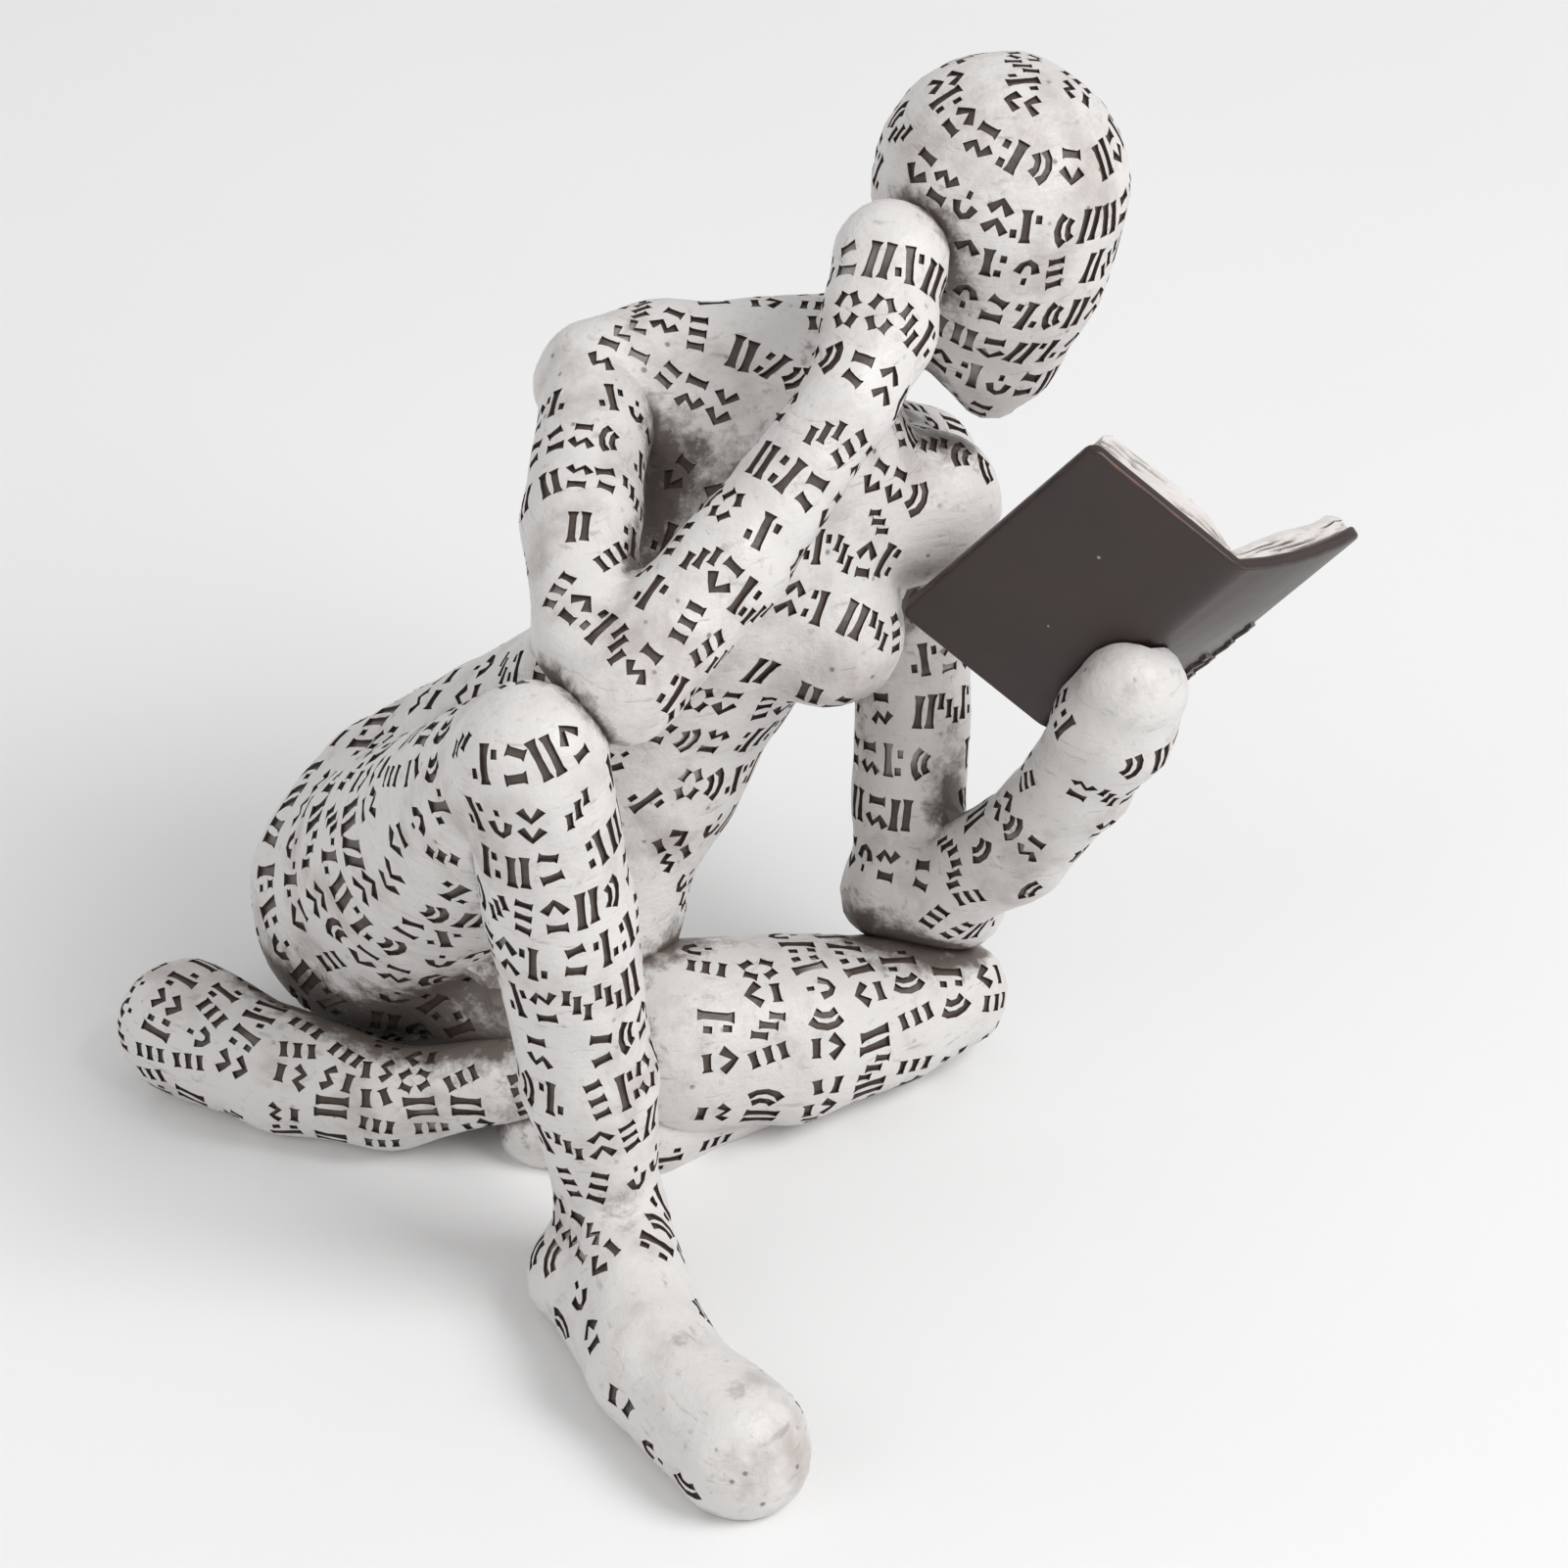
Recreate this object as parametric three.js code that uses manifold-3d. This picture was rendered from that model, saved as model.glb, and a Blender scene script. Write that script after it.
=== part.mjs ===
// A seated woman reading: a small cast resin figurine with a smooth egg for a head, limbs that end in
// rounded mitts, and an open book glued into its left hand. It sits on the ground with the left leg
// folded flat, the right knee raised, and the right elbow on that knee with the hand at the head.
// Millimetres, +Z up, the figure's front towards -Y. The origin is the middle of the ground it covers.

import * as THREE from 'three';
import { mergeVertices } from 'three/addons/utils/BufferGeometryUtils.js';
import Module from 'manifold-3d';

const wasm = await Module();
wasm.setup();

// Driving dimensions
const GLUE_GAP = 0.3;            // room between the book and the hand that holds it
const BASE_CENTRE = [-6.6, -15.2]; // middle of the covered ground, in the measure of the joints below
const ROOM_LOW = [-86, -68, -9]; // the room that the figure's skin is looked for in
const ROOM_HIGH = [70, 68, 150];
const GROUND_WIDTH = 400;        // the block below the ground that cuts the underside flat
const GROUND_DEPTH = 20;

// Places of the joints in each form of the figure: x, y, height
const torso = {
  seat: [-52, 25.5, 19],
  groin: [-26, 3, 14],
  cushion: [-28, 16, 13],
  waist: [-22.5, 18, 50],
  ribs: [-6, 15.5, 80],
  chest: [0.5, 19, 92],
  neck: [8.5, 32.5, 101],
  collarInner: [6, 29, 101.5],
  collarOuter: [-16.5, 26, 103.5],
  shoulderRight: [-23, 21, 104],
  shoulderLeft: [17.5, 39.5, 79],
  breastRight: [5.5, 11, 73],
  breastLeft: [18.5, 24, 83.5],
};
const head = {
  crown: [27, 29, 129],
  brow: [27, 28.5, 119.5],
  jaw: [26.5, 28, 107.5],
  chin: [26, 27, 100.5],
};
const armRight = {
  biceps: [-25, -3, 100],
  elbow: [-24, -21.5, 95],
  bend: [-19.5, -26, 92.5],
  forearm: [-6.5, -16.5, 103],
  wrist: [8, -3.5, 118],
  palm: [11.5, 5, 123],
  fingers: [13, 13, 128],
};
const armLeft = {
  elbow: [16.5, 20.5, 26],
  padInner: [14, 20.5, 23],
  padOuter: [23, 19.5, 22],
  bend: [21, 17.5, 27],
  forearm: [30.5, 11, 38],
  wrist: [38, 6, 53],
  palm: [42, 2.5, 64.5],
  fingers: [44, 1.5, 70.5],
};
const legRight = {
  knee: [-30.5, -33.5, 86],
  calf: [-27.5, -32.5, 61.5],
  shin: [-24.5, -33, 35.5],
  ankle: [-22, -32.5, 14],
  heel: [-26.5, -36.5, 6],
  instep: [-16.5, -55, 7.5],
  toes: [-5.5, -69, 6],
};
const legLeft = {
  root: [-14.5, 1, 14],
  thigh: [0, 5, 12],
  kneeUpper: [13.5, 11.5, 10],
  knee: [22.5, 15.5, 9.5],
  shin: [19.5, 15.5, 7.5],
  calf: [-20.5, -2, 5],
  calfEnd: [-31.5, -4, 4],
  ankleStart: [-20.5, -1, 15],
  ankle: [-37, -5.5, 12],
  heel: [-52, -2.5, 6.5],
  ball: [-66.5, 2, 7.5],
  toes: [-80, 10.5, 8],
};

// The book: two leaves of cover and pages that open from one spine
const book = {
  height: 39,
  opening: 123,                  // degrees between the two leaves
  leafLeft: 25,
  leafRight: 27.5,
  bowRight: 1.2,                 // how far the right cover bows outward at its middle
  cover: 1.8,
  pagesLeft: 5,
  pagesRight: 3.2,
  pageMargin: 1.4,               // cover that stands proud of the pages at the open edges
  gutter: 0.6,                   // share of the pages' thickness left in the fold
  tail: [33.5, 5.5, 61],         // lower end of the spine
  spine: [0.6, -0.18, 0.78],     // direction of the spine, upwards
  inward: [-0.15, 0.93, 0.33],   // from the spine into the open book
};
const SLOT_REACH = 17;           // room for the book that is cut from the hand, each side of the spine
const SLOT_TOP = 30;

const resin = new THREE.MeshStandardMaterial({ color: '#e3e0dc', roughness: 0.34, metalness: 0 });
const lacquer = new THREE.MeshStandardMaterial({ color: '#3e3635', roughness: 0.36, metalness: 0 });

function at([x, y, z]) {
  return new THREE.Vector3(x - BASE_CENTRE[0], y - BASE_CENTRE[1], z);
}

// Distance to a cone with ball ends, below zero inside it
function roundCone(from, radiusFrom, to, radiusTo) {
  const start = at(from);
  const axis = at(to).sub(start);
  const length = axis.length();
  axis.normalize();
  const taper = (radiusFrom - radiusTo) / length;
  const slant = Math.sqrt(1 - taper * taper);
  return (point) => {
    const x = point.x - start.x;
    const y = point.y - start.y;
    const z = point.z - start.z;
    const along = x * axis.x + y * axis.y + z * axis.z;
    const across = Math.sqrt(Math.max(x * x + y * y + z * z - along * along, 0));
    const station = slant * along - taper * across;
    if (station < 0) {
      return Math.hypot(across, along) - radiusFrom;
    }
    if (station > slant * length) {
      return Math.hypot(across, along - length) - radiusTo;
    }
    return slant * across + taper * along - radiusFrom;
  };
}

// The same cone pressed flatter along one direction
function flatCone(from, radiusFrom, to, radiusTo, direction, flatness) {
  const normal = new THREE.Vector3(...direction).normalize();
  const start = at(from);
  const press = (point) => {
    const depth = point.clone().sub(start).dot(normal);
    return point.clone().addScaledVector(normal, depth * (1 / flatness - 1));
  };
  const end = press(at(to));
  const cone = roundCone(from, radiusFrom, [end.x + BASE_CENTRE[0], end.y + BASE_CENTRE[1], end.z], radiusTo);
  return (point) => cone(press(point)) * (1 + flatness) / 2;
}

// Distance to an ellipsoid, near enough for its skin
function ball(middle, [radiusX, radiusY, radiusZ]) {
  const centre = at(middle);
  return (point) => {
    const x = (point.x - centre.x) / radiusX;
    const y = (point.y - centre.y) / radiusY;
    const z = (point.z - centre.z) / radiusZ;
    const size = Math.hypot(x, y, z);
    const slope = Math.hypot(x / radiusX, y / radiusY, z / radiusZ);
    return size * (size - 1) / Math.max(slope, 1e-9);
  };
}

// Round cones from station to station: [place, radius], [place, radius], ...
function limb(...stations) {
  return stations.slice(1).map(([place, radius], index) => roundCone(...stations[index], place, radius));
}

// Two distances joined with a fillet of this width
function blend(first, second, width) {
  const overlap = Math.max(width - Math.abs(first - second), 0);
  return Math.min(first, second) - overlap * overlap / (4 * width);
}

function form(fillet, solids) {
  return (point) => solids.map((solid) => solid(point)).reduce((sum, next) => blend(sum, next, fillet));
}

const offset = ([x, y, z], dx, dy, dz) => [x + dx, y + dy, z + dz];
const CHEST_FACING = [0.35, -0.92, -0.1];
const HIP_FACING = [-0.1, -0.95, 0.2];

const torsoForm = form(3, [
  ball(torso.seat, [19.4, 19.4, 19.6]),
  ball(torso.cushion, [13, 14, 13.6]),
  roundCone(offset(torso.seat, 2, 0, 2), 16, torso.groin, 12),
  flatCone(offset(torso.seat, 4, 3, 7), 18, torso.waist, 18.4, HIP_FACING, 0.85),
  flatCone(offset(torso.groin, -2, 4, 3), 12, torso.waist, 15, HIP_FACING, 0.85),
  flatCone(torso.waist, 18.4, torso.ribs, 18.8, CHEST_FACING, 0.75),
  flatCone(torso.ribs, 18.8, torso.chest, 16, CHEST_FACING, 0.75),
  roundCone(offset(torso.chest, -4, 2, 4), 9, torso.shoulderRight, 8),
  roundCone(torso.chest, 10, torso.shoulderLeft, 8),
  ...limb([torso.collarInner, 9], [torso.collarOuter, 7.7], [torso.shoulderRight, 7.3]),
  roundCone(torso.chest, 10, torso.neck, 7),
  ball(torso.breastRight, [9.9, 9.9, 9.9]),
  ball(torso.breastLeft, [9, 9, 9]),
  roundCone(torso.chest, 10, torso.breastLeft, 8.4),
  roundCone(torso.ribs, 12, torso.breastLeft, 7.5),
  roundCone(torso.seat, 18.5, legRight.knee, 9.7),
]);

const headForm = form(2.5, [
  ...limb([head.crown, 16], [head.brow, 13.7], [head.jaw, 9], [head.chin, 4.8]),
  roundCone(torso.neck, 6.5, head.brow, 7),
]);

const armRightForm = form(2, [
  ...limb([torso.shoulderRight, 7.6], [armRight.biceps, 7.2], [armRight.elbow, 6.5]),
  ...limb([armRight.bend, 7.9], [armRight.forearm, 6.8], [armRight.wrist, 5.7], [armRight.palm, 6.8],
    [armRight.fingers, 7.2]),
]);

const armLeftForm = form(2, [
  roundCone(torso.shoulderLeft, 8, armLeft.elbow, 7.4),
  roundCone(armLeft.padInner, 6.6, armLeft.padOuter, 6.6),
  ...limb([armLeft.elbow, 7.6], [armLeft.bend, 7.3], [armLeft.forearm, 6.9], [armLeft.wrist, 6.7],
    [armLeft.palm, 7.6], [armLeft.fingers, 7.1]),
]);

const shinRightForm = form(2, [
  ...limb([legRight.knee, 9.5], [legRight.calf, 9.2], [legRight.shin, 8.4], [legRight.ankle, 6.4]),
  roundCone(legRight.ankle, 6.2, legRight.heel, 5.9),
  roundCone(legRight.ankle, 6.6, legRight.instep, 7.9),
  roundCone(legRight.heel, 6.1, legRight.instep, 7.6),
  roundCone(legRight.instep, 7.9, legRight.toes, 9),
]);

const thighLeftForm = form(1, limb([torso.groin, 12.5], [legLeft.root, 12.8], [legLeft.thigh, 12.4],
  [legLeft.kneeUpper, 10], [legLeft.knee, 7.4]));
const calfLeftForm = form(1.5, limb([legLeft.shin, 6], [legLeft.calf, 10.3], [legLeft.calfEnd, 6.8]));
const footLeftForm = form(1.5, limb([legLeft.ankleStart, 9], [legLeft.ankle, 5.2], [legLeft.heel, 6.9],
  [legLeft.ball, 8.1], [legLeft.toes, 9.1]));

// The forms, each with the spacing of the facets of its skin; they meet in open creases
const figureForms = [
  [torsoForm, 5.0],
  [headForm, 4.6],
  [armRightForm, 3.7],
  [armLeftForm, 3.7],
  [shinRightForm, 4.1],
  [thighLeftForm, 4.6],
  [calfLeftForm, 4.2],
  [footLeftForm, 3.9],
];

const CORNERS = [...Array(8).keys()];
const corner = (index) => [index & 1, index >> 1 & 1, index >> 2 & 1];

// Whether the corners of a cell that are in this set hang together along the cell's edges
function hangsTogether(set) {
  const first = CORNERS.find((index) => set >> index & 1);
  let reached = first === undefined ? 0 : 1 << first;
  for (let pass = 0; pass < CORNERS.length; pass++) {
    for (const index of CORNERS) {
      if (reached >> index & 1) {
        reached |= set & (1 << (index ^ 1) | 1 << (index ^ 2) | 1 << (index ^ 4));
      }
    }
  }
  return reached === set;
}

// A closed skin over the places where the distance is below zero: one vertex in each cell of a grid
// that the skin passes through, and one face across each grid edge that it crosses
function skin(distance, low, high, cell) {
  const count = [0, 1, 2].map((axis) => Math.ceil((high[axis] - low[axis]) / cell) + 1);
  const stride = [1, count[0], count[0] * count[1]];
  const total = count[0] * count[1] * count[2];
  const spot = (index, target) => target.set(
    low[0] + cell * (index % count[0]),
    low[1] + cell * (Math.floor(index / stride[1]) % count[1]),
    low[2] + cell * Math.floor(index / stride[2]),
  );
  const point = new THREE.Vector3();
  const value = Float64Array.from({ length: total }, (_, index) => distance(spot(index, point)));
  const steps = CORNERS.map((index) => corner(index).reduce((sum, bit, axis) => sum + bit * stride[axis], 0));
  const cells = [];
  for (let z = 0; z < count[2] - 1; z++) {
    for (let y = 0; y < count[1] - 1; y++) {
      for (let x = 0; x < count[0] - 1; x++) {
        cells.push(x + y * stride[1] + z * stride[2]);
      }
    }
  }

  // Cells that two sheets of skin would share are filled, so that no edge or vertex is used twice
  const insideSet = (base) => steps.reduce((set, step, index) => set | (value[base + step] < 0) << index, 0);
  const single = Array.from({ length: 256 }, (_, set) => hangsTogether(set) && hangsTogether(255 - set));
  let filled = true;
  while (filled) {
    filled = false;
    for (const base of cells) {
      if (!single[insideSet(base)]) {
        for (const step of steps) {
          value[base + step] = Math.min(value[base + step], -cell / 20);
        }
        filled = true;
      }
    }
  }

  const vertexOf = new Map();
  const positions = [];
  for (const base of cells) {
    const set = insideSet(base);
    if (set !== 0 && set !== 255) {
      vertexOf.set(base, positions.length / 3);
      positions.push(...onSkin(distance, crossing(base), cell).toArray());
    }
  }

  // The mean of the points where the skin crosses the cell's edges
  function crossing(base) {
    const mean = new THREE.Vector3();
    let crossings = 0;
    for (const index of CORNERS) {
      for (const axis of [0, 1, 2]) {
        const from = value[base + steps[index]];
        const to = value[base + steps[index | 1 << axis]];
        if (from < 0 !== to < 0) {
          const place = corner(index);
          place[axis] = from / (from - to);
          mean.add(point.fromArray(place));
          crossings += 1;
        }
      }
    }
    return mean.multiplyScalar(cell / crossings).add(spot(base, point));
  }

  const faces = [];
  for (const base of cells) {
    for (const axis of [0, 1, 2]) {
      const starts = value[base] < 0;
      const ends = value[base + stride[axis]] < 0;
      if (starts !== ends) {
        const right = stride[(axis + 1) % 3];
        const up = stride[(axis + 2) % 3];
        const ring = [base - right - up, base - up, base, base - right].map((place) => vertexOf.get(place));
        faces.push(...splitSquare(starts ? ring : ring.reverse(), positions));
      }
    }
  }
  const geometry = new THREE.BufferGeometry();
  geometry.setAttribute('position', new THREE.Float32BufferAttribute(positions, 3));
  geometry.setIndex(faces);
  return geometry;
}

// A point near the skin moved straight onto it, by less than a cell
function onSkin(distance, start, cell) {
  const place = start.clone();
  const feel = 0.02;
  for (let pass = 0; pass < 3; pass++) {
    const here = distance(place);
    const slope = new THREE.Vector3(
      distance(place.clone().add(new THREE.Vector3(feel, 0, 0))) - here,
      distance(place.clone().add(new THREE.Vector3(0, feel, 0))) - here,
      distance(place.clone().add(new THREE.Vector3(0, 0, feel))) - here,
    ).divideScalar(feel);
    place.addScaledVector(slope, -here / Math.max(slope.lengthSq(), 0.25));
  }
  const move = place.sub(start).clampLength(0, cell / 2);
  return move.add(start);
}

// Two triangles of a square, cut along its shorter diagonal
function splitSquare(ring, positions) {
  const place = ring.map((index) => new THREE.Vector3().fromArray(positions, 3 * index));
  const turn = place[0].distanceTo(place[2]) < place[1].distanceTo(place[3]) ? 0 : 1;
  const [a, b, c, d] = [...ring.slice(turn), ...ring.slice(0, turn)];
  return [a, b, c, a, c, d];
}

function toSolid(geometry) {
  const bare = geometry.clone();
  bare.deleteAttribute('normal');
  bare.deleteAttribute('uv');
  const merged = mergeVertices(bare, 1e-4);
  return new wasm.Manifold(new wasm.Mesh({
    numProp: 3,
    vertProperties: new Float32Array(merged.attributes.position.array),
    triVerts: new Uint32Array(merged.index.array),
  }));
}

function toMesh(name, solid, material) {
  const { vertProperties, triVerts } = solid.getMesh();
  const geometry = new THREE.BufferGeometry();
  geometry.setAttribute('position', new THREE.BufferAttribute(vertProperties, 3));
  geometry.setIndex(new THREE.BufferAttribute(triVerts, 1));
  geometry.computeVertexNormals();
  const mesh = new THREE.Mesh(geometry, material);
  mesh.name = name;
  return mesh;
}

// The book's profile, seen along the spine: x across the open book, y into it. Each leaf leans up from
// the spine, and a point of it is given by its share of the leaf's width and its lift off the outer face.
const lean = THREE.MathUtils.degToRad(90 - book.opening / 2);
const leaves = [
  { side: -1, width: book.leafLeft, bow: 0, pages: book.pagesLeft },
  { side: 1, width: book.leafRight, bow: book.bowRight, pages: book.pagesRight },
];

function leafPoint({ side, width, bow }, share, lift) {
  const along = width * share;
  const rise = lift - 4 * bow * share * (1 - share);
  return new THREE.Vector2(
    side * (along * Math.cos(lean) - rise * Math.sin(lean)),
    along * Math.sin(lean) + rise * Math.cos(lean),
  );
}

// A closed profile from the left leaf's edge along the outer faces to the right one, and back inside
function openProfile(outer, inner) {
  const [left, right] = leaves;
  return new THREE.Shape([
    ...outer(left).reverse(),
    ...outer(right).slice(1),
    ...inner(right).reverse(),
    ...inner(left).slice(1),
  ]);
}

const LEAF_STEPS = 5;

function evenly(from, to) {
  return [...Array(LEAF_STEPS + 1).keys()].map((step) => from + (to - from) * step / LEAF_STEPS);
}

function bandPoints(leaf, lift, reach) {
  const foldShare = lift * Math.tan(lean) / leaf.width;
  return evenly(foldShare, reach / leaf.width).map((share) => leafPoint(leaf, share, lift));
}

function pagePoints(leaf) {
  const top = book.cover + leaf.pages;
  const fold = book.cover + leaf.pages * book.gutter;
  const edge = 1 - book.pageMargin / leaf.width;
  return [
    leafPoint(leaf, fold * Math.tan(lean) / leaf.width, fold),
    leafPoint(leaf, 0.25, top - 0.1 * leaf.pages),
    leafPoint(leaf, 0.45, top),
    leafPoint(leaf, edge - 0.06, top),
    leafPoint(leaf, edge, top - 0.3 * leaf.pages),
  ];
}

function extrude(shape, from, to) {
  return new THREE.ExtrudeGeometry(shape, { depth: to - from, bevelEnabled: false }).translate(0, 0, from);
}

const coverProfile = openProfile(
  (leaf) => bandPoints(leaf, 0, leaf.width),
  (leaf) => bandPoints(leaf, book.cover, leaf.width),
);
const pageProfile = openProfile(
  (leaf) => bandPoints(leaf, book.cover / 2, leaf.width - book.pageMargin),
  pagePoints,
);
const slotProfile = openProfile(
  (leaf) => bandPoints(leaf, -GLUE_GAP, SLOT_REACH),
  (leaf) => bandPoints(leaf, SLOT_REACH, SLOT_REACH + 2),
);
const cover = toSolid(extrude(coverProfile, 0, book.height));
const pages = toSolid(extrude(pageProfile, book.pageMargin / 2, book.height - book.pageMargin / 2));

const bookPlace = new THREE.Matrix4();
const spineWay = new THREE.Vector3(...book.spine).normalize();
const inwardWay = new THREE.Vector3(...book.inward).projectOnPlane(spineWay).normalize();
bookPlace.makeBasis(inwardWay.clone().cross(spineWay), inwardWay, spineWay).setPosition(at(book.tail));
const slot = toSolid(extrude(slotProfile, -GLUE_GAP, SLOT_TOP).applyMatrix4(bookPlace));

// The figure: its forms joined, cut off flat at the ground and opened for the book
const forms = figureForms.map(([distance, facet]) => toSolid(skin(distance, ROOM_LOW, ROOM_HIGH, facet)));
const ground = new THREE.BoxGeometry(GROUND_WIDTH, GROUND_WIDTH, GROUND_DEPTH);
ground.translate(0, 0, -GROUND_DEPTH / 2);
const figure = forms.reduce((sum, next) => sum.add(next)).subtract(toSolid(ground)).subtract(slot);

const figureMesh = toMesh('figure', figure, resin);
const bookMesh = toMesh('book', cover.add(pages), lacquer);
bookMesh.applyMatrix4(bookPlace);

const part = new THREE.Group();
part.add(figureMesh, bookMesh);

export default part;
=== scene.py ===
"""Looks of a seated reading figurine: a white resin casting with dark marks, and a painted book."""

import itertools
import math
from types import SimpleNamespace

import bpy
import numpy as np
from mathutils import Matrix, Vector


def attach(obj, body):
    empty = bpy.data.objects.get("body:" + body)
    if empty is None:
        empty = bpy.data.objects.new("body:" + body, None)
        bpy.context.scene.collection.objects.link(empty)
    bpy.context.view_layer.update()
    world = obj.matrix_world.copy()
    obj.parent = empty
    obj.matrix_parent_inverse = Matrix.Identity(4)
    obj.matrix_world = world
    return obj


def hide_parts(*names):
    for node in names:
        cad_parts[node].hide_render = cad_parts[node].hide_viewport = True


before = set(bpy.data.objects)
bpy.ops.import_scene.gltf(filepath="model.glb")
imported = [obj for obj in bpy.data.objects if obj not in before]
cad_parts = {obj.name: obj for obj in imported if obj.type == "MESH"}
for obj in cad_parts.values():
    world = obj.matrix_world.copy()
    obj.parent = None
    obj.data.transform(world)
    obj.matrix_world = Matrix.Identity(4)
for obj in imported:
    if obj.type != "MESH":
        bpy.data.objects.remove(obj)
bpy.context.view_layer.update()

# The figure is one casting of white polyester resin with stone powder, poured in a rubber mould of a
# hand-modelled clay master. Each limb was rolled and pressed on by itself, so the forms meet in open
# creases. The underside was ground flat. Millimetres here, the CAD frame's axes and origin.
BASE_CENTRE = np.array([-6.6, -15.2, 0.0])

torso = SimpleNamespace(
    seat=(-52, 25.5, 19),
    groin=(-26, 3, 14),
    cushion=(-28, 16, 13),
    waist=(-22.5, 18, 50),
    ribs=(-6, 15.5, 80),
    chest=(0.5, 19, 92),
    neck=(8.5, 32.5, 101),
    collar_inner=(6, 29, 101.5),
    collar_outer=(-16.5, 26, 103.5),
    shoulder_right=(-23, 21, 104),
    shoulder_left=(17.5, 39.5, 79),
    breast_right=(5.5, 11, 73),
    breast_left=(18.5, 24, 83.5),
)
head = SimpleNamespace(
    crown=(27, 29, 129),
    brow=(27, 28.5, 119.5),
    jaw=(26.5, 28, 107.5),
    chin=(26, 27, 100.5),
)
arm_right = SimpleNamespace(
    biceps=(-25, -3, 100),
    elbow=(-24, -21.5, 95),
    bend=(-19.5, -26, 92.5),
    forearm=(-6.5, -16.5, 103),
    wrist=(8, -3.5, 118),
    palm=(11.5, 5, 123),
    fingers=(13, 13, 128),
)
arm_left = SimpleNamespace(
    elbow=(16.5, 20.5, 26),
    pad_inner=(14, 20.5, 23),
    pad_outer=(23, 19.5, 22),
    bend=(21, 17.5, 27),
    forearm=(30.5, 11, 38),
    wrist=(38, 6, 53),
    palm=(42, 2.5, 64.5),
    fingers=(44, 1.5, 70.5),
)
leg_right = SimpleNamespace(
    knee=(-30.5, -33.5, 86),
    calf=(-27.5, -32.5, 61.5),
    shin=(-24.5, -33, 35.5),
    ankle=(-22, -32.5, 14),
    heel=(-26.5, -36.5, 6),
    instep=(-16.5, -55, 7.5),
    toes=(-5.5, -69, 6),
)
leg_left = SimpleNamespace(
    root=(-14.5, 1, 14),
    thigh=(0, 5, 12),
    knee_upper=(13.5, 11.5, 10),
    knee=(22.5, 15.5, 9.5),
    shin=(19.5, 15.5, 7.5),
    calf=(-20.5, -2, 5),
    calf_end=(-31.5, -4, 4),
    ankle_start=(-20.5, -1, 15),
    ankle=(-37, -5.5, 12),
    heel=(-52, -2.5, 6.5),
    ball=(-66.5, 2, 7.5),
    toes=(-80, 10.5, 8),
)


def placed(joint):
    return np.asarray(joint, float) - BASE_CENTRE


def unit(vector):
    vector = np.asarray(vector, float)
    return vector / np.linalg.norm(vector, axis=-1, keepdims=True)


def ball_cone(start, radius_start, end, radius_end):
    """Distance to a cone with ball ends, below zero inside it, for points as rows."""
    start, end = placed(start), placed(end)
    length = np.linalg.norm(end - start)
    axis = (end - start) / length
    taper = (radius_start - radius_end) / length
    slant = math.sqrt(1 - taper * taper)

    def distance(points):
        from_start = points - start
        along = from_start @ axis
        across = np.sqrt(np.maximum((from_start**2).sum(1) - along**2, 0))
        station = slant * along - taper * across
        side = slant * across + taper * along - radius_start
        first = np.hypot(across, along) - radius_start
        last = np.hypot(across, along - length) - radius_end
        return np.where(station < 0, first, np.where(station > slant * length, last, side))

    return distance


def pressed_cone(start, radius_start, end, radius_end, facing, flatness):
    """The same cone pressed flatter along the way it faces."""
    normal = unit(facing)
    origin = placed(start)

    def press(points):
        depth = (points - origin) @ normal
        return points + np.outer(depth * (1 / flatness - 1), normal)

    far = press(placed(end)[None])[0] + BASE_CENTRE
    cone = ball_cone(start, radius_start, far, radius_end)
    return lambda points: cone(press(points)) * (1 + flatness) / 2


def ball(middle, radii):
    centre, radii = placed(middle), np.asarray(radii, float)

    def distance(points):
        scaled = (points - centre) / radii
        size = np.sqrt((scaled**2).sum(1))
        slope = np.sqrt(((scaled / radii) ** 2).sum(1))
        return size * (size - 1) / np.maximum(slope, 1e-9)

    return distance


def limb(*stations):
    """Ball cones from station to station, each a joint and a radius."""
    return [ball_cone(*a, *b) for a, b in zip(stations, stations[1:])]


def modelled(fillet, solids):
    """One hand-modelled form: its solids joined with a soft fillet."""

    def distance(points):
        total = solids[0](points)
        for solid in solids[1:]:
            other = solid(points)
            overlap = np.maximum(fillet - np.abs(total - other), 0)
            total = np.minimum(total, other) - overlap**2 / (4 * fillet)
        return total

    return distance


def shifted(joint, *by):
    return tuple(a + b for a, b in zip(joint, by))


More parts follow.
